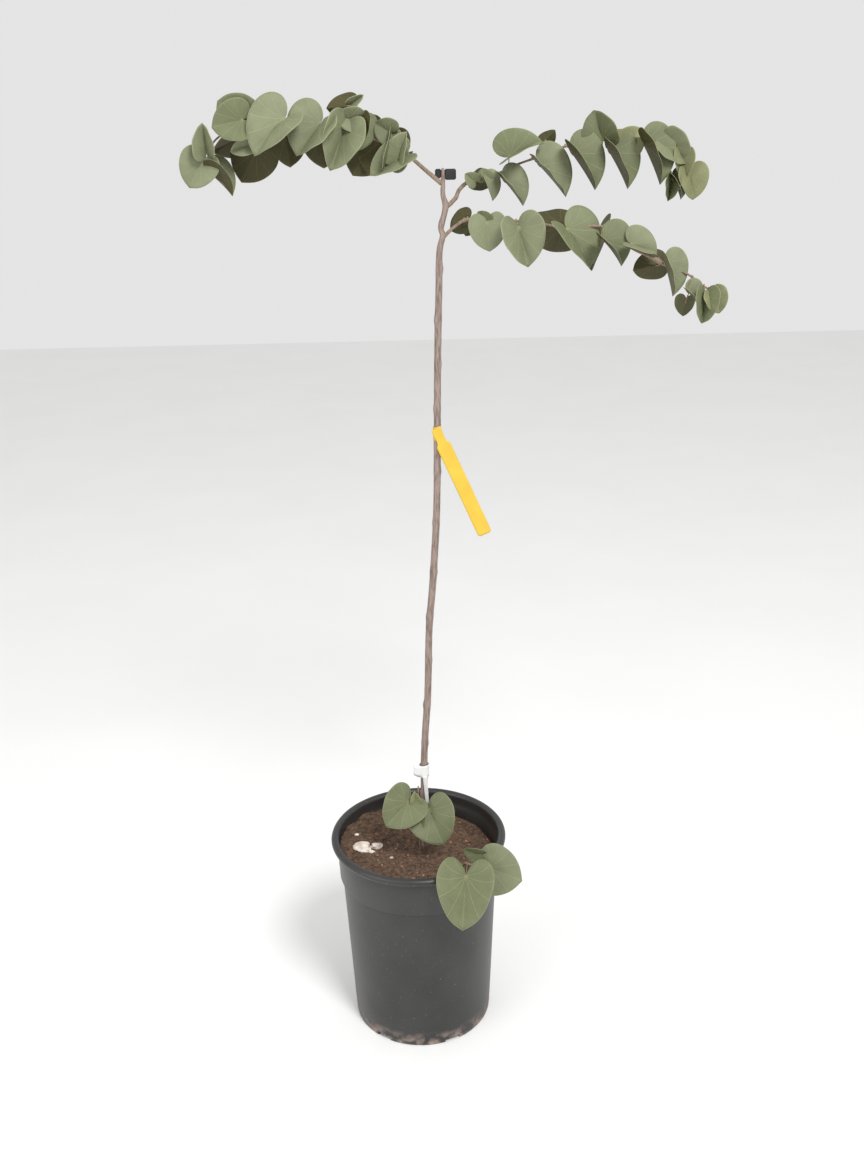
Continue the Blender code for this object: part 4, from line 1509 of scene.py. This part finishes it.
def makeBand():
    # A loop round the trunk, a flag to the left and a tail that hangs down
    p = bandPlan
    x, y, z = p["centre"]
    front = y - p["radius"]
    flagOutline = []
    for step in range(p["flagSteps"] + 1):
        run = step / p["flagSteps"]
        low = p["flagUneven"] * math.sin(step) - p["flagHalf"]
        flagOutline.append((low, p["flagHalf"] - p["flagNarrowing"] * run, run))

    def flagPlace(a, run, level):
        out = front + p["flagInset"] + p["flagCurl"] * run * run + level
        return Vector((x + p["flagLeft"] * run, out, z + a + p["flagRise"] * run))

    tailOutline = []
    for step in range(p["tailSteps"] + 1):
        run = step / p["tailSteps"]
        half = p["tailWidth"] / 2 * (1 - p["tailNarrowing"] * run)
        tailOutline.append((-half, half, run))

    def tailPlace(a, run, level):
        right = x + p["tailRight"] + p["tailLean"] * run + a
        out = front - p["tailProud"] + p["tailWave"] * math.sin(run * p["tailWaveTurn"]) + level
        start = z - p["tailDrop"]
        return Vector((right, out, start + (p["tailEnd"] - start) * run))

    loop = ribbonLoop(p["centre"], p["radius"], p["height"], p["thick"], p["tilt"])
    flag = bentStrip(flagOutline, flagPlace, p["columns"], p["thick"])
    tail = bentStrip(tailOutline, tailPlace, p["columns"], p["thick"])
    points, faces, tints = joinParts([(*loop, 0), (*flag, 0), (*tail, 0)])
    settle(meshObject("footBand", points, faces, (finish["bandPaper"],), tints), ("band",))


clipPlan = {
    "left": (0.0442, 0.0520),
    "right": (0.0560, 0.0702),
    "low": 1.2350,
    "high": 1.2482,
    "front": 0.0095,
    "back": 0.0162,
    "leftRaised": 0.0022,
    "rightLowered": 0.0002,
    "bridgeOverlap": 0.001,
    "bridgeRaised": 0.003,
    "bridgeLowered": 0.002,
    "bridgeDepth": 0.0030,
    "bevel": 0.0012,
    "bevelSteps": 3,
    "sharpAngle": math.radians(35),
}


def makeClip():
    # A block on each side of the cut leader and a bridge behind it
    p = clipPlan
    (leftStart, leftEnd), (rightStart, rightEnd) = p["left"], p["right"]
    bridgeFront = p["back"] - p["bridgeDepth"]
    boxes = (
        ((leftStart, p["front"], p["low"] + p["leftRaised"]), (leftEnd, p["back"], p["high"])),
        ((rightStart, p["front"], p["low"]), (rightEnd, p["back"], p["high"] - p["rightLowered"])),
        (
            (leftEnd - p["bridgeOverlap"], bridgeFront, p["low"] + p["bridgeRaised"]),
            (rightStart + p["bridgeOverlap"], p["back"], p["high"] - p["bridgeLowered"]),
        ),
    )
    parts = []
    for low, high in boxes:
        work = bmesh.new()
        bmesh.ops.create_cube(work, size=1.0)
        size = Vector(high) - Vector(low)
        middle = (Vector(high) + Vector(low)) / 2
        for vertex in work.verts:
            vertex.co = vertex.co * size + middle
        bmesh.ops.bevel(
            work, geom=work.edges[:], offset=p["bevel"], segments=p["bevelSteps"], affect="EDGES")
        work.verts.index_update()
        corners = [vertex.co.copy() for vertex in work.verts]
        parts.append((corners, [tuple(vertex.index for vertex in face.verts) for face in work.faces], 0))
        work.free()
    points, faces, tints = joinParts(parts)
    clip = meshObject("topClip", points, faces, (finish["clipPlastic"],), tints)
    clip.data.set_sharp_from_angle(angle=p["sharpAngle"])
    settle(clip, ("clip",))


makeLabel()
makeBand()
makeClip()
print("label, band and clip made")


# Floor, light and camera

studio = {
    "floorHalf": 6.0,
    "floorLight": (0.86, 0.86, 0.855),
    "floorDark": (0.845, 0.845, 0.84),
    "floorPatches": 3.0,
    "floorRoughness": 0.9,
    "worldColour": (1.0, 1.0, 1.0, 1),
    "worldStrength": 0.78,
    "aim": (0.03, 0.0, 0.85),
    "keyPlace": (1.1, -2.2, 3.4),
    "keySize": 1.1,
    "keyPower": 105.0,
    "fillPlace": (-2.2, -1.8, 1.8),
    "fillSize": 2.2,
    "fillPower": 26.0,
}


def makeFloor():
    material, tree, shader = newMaterial("paleFloor", studio["floorRoughness"])
    patches = addPatches(
        tree, objectPlace(tree), studio["floorLight"], studio["floorDark"], studio["floorPatches"])
    wire(tree, (patches, "Colour", shader, "Base Color"))
    half = studio["floorHalf"]
    points = [(-half, -half, 0), (half, -half, 0), (half, half, 0), (-half, half, 0)]
    floor = meshObject("studioFloor", points, [(0, 1, 2, 3)], (material,), smooth=False, recalc=False)


def areaLight(name, place, size, power):
    data = bpy.data.lights.new(name, "AREA")
    data.shape = "DISK"
    data.size = size
    data.energy = power
    item = bpy.data.objects.new(name, data)
    item.location = place
    item.rotation_euler = (Vector(studio["aim"]) - Vector(place)).to_track_quat("-Z", "Y").to_euler()
    bpy.context.scene.collection.objects.link(item)


def makeStudio():
    makeFloor()
    world = bpy.data.worlds.new("studioWorld")
    world.use_nodes = True
    back = world.node_tree.nodes["Background"]
    back.inputs["Color"].default_value = studio["worldColour"]
    back.inputs["Strength"].default_value = studio["worldStrength"]
    bpy.context.scene.world = world
    areaLight("keyLight", studio["keyPlace"], studio["keySize"], studio["keyPower"])
    areaLight("fillLight", studio["fillPlace"], studio["fillSize"], studio["fillPower"])
    bpy.context.scene.view_settings.view_transform = "Standard"


viewPoint = {
    "place": (0.0291, -1.5899, 1.3156),
    "pitch": math.radians(20.673),
    "roll": math.radians(-1.314),
    "lens": 38.53,
    "sensor": 36.0,
}


def makeCamera():
    v = viewPoint
    ahead = Vector((0, math.cos(v["pitch"]), -math.sin(v["pitch"])))
    above = Vector((0, math.sin(v["pitch"]), math.cos(v["pitch"])))
    right = Vector((1, 0, 0))
    c, s = math.cos(v["roll"]), math.sin(v["roll"])
    turnedRight = right * c + above * s
    turnedUp = above * c - right * s
    data = bpy.data.cameras.new("photoCamera")
    data.lens = v["lens"]
    data.sensor_width = v["sensor"]
    data.sensor_fit = "AUTO"
    camera = bpy.data.objects.new("photoCamera", data)
    turn = Matrix((turnedRight, turnedUp, -ahead)).transposed().to_4x4()
    camera.matrix_world = Matrix.Translation(v["place"]) @ turn
    bpy.context.scene.collection.objects.link(camera)
    bpy.context.scene.camera = camera


makeStudio()
makeCamera()
print("studio made")
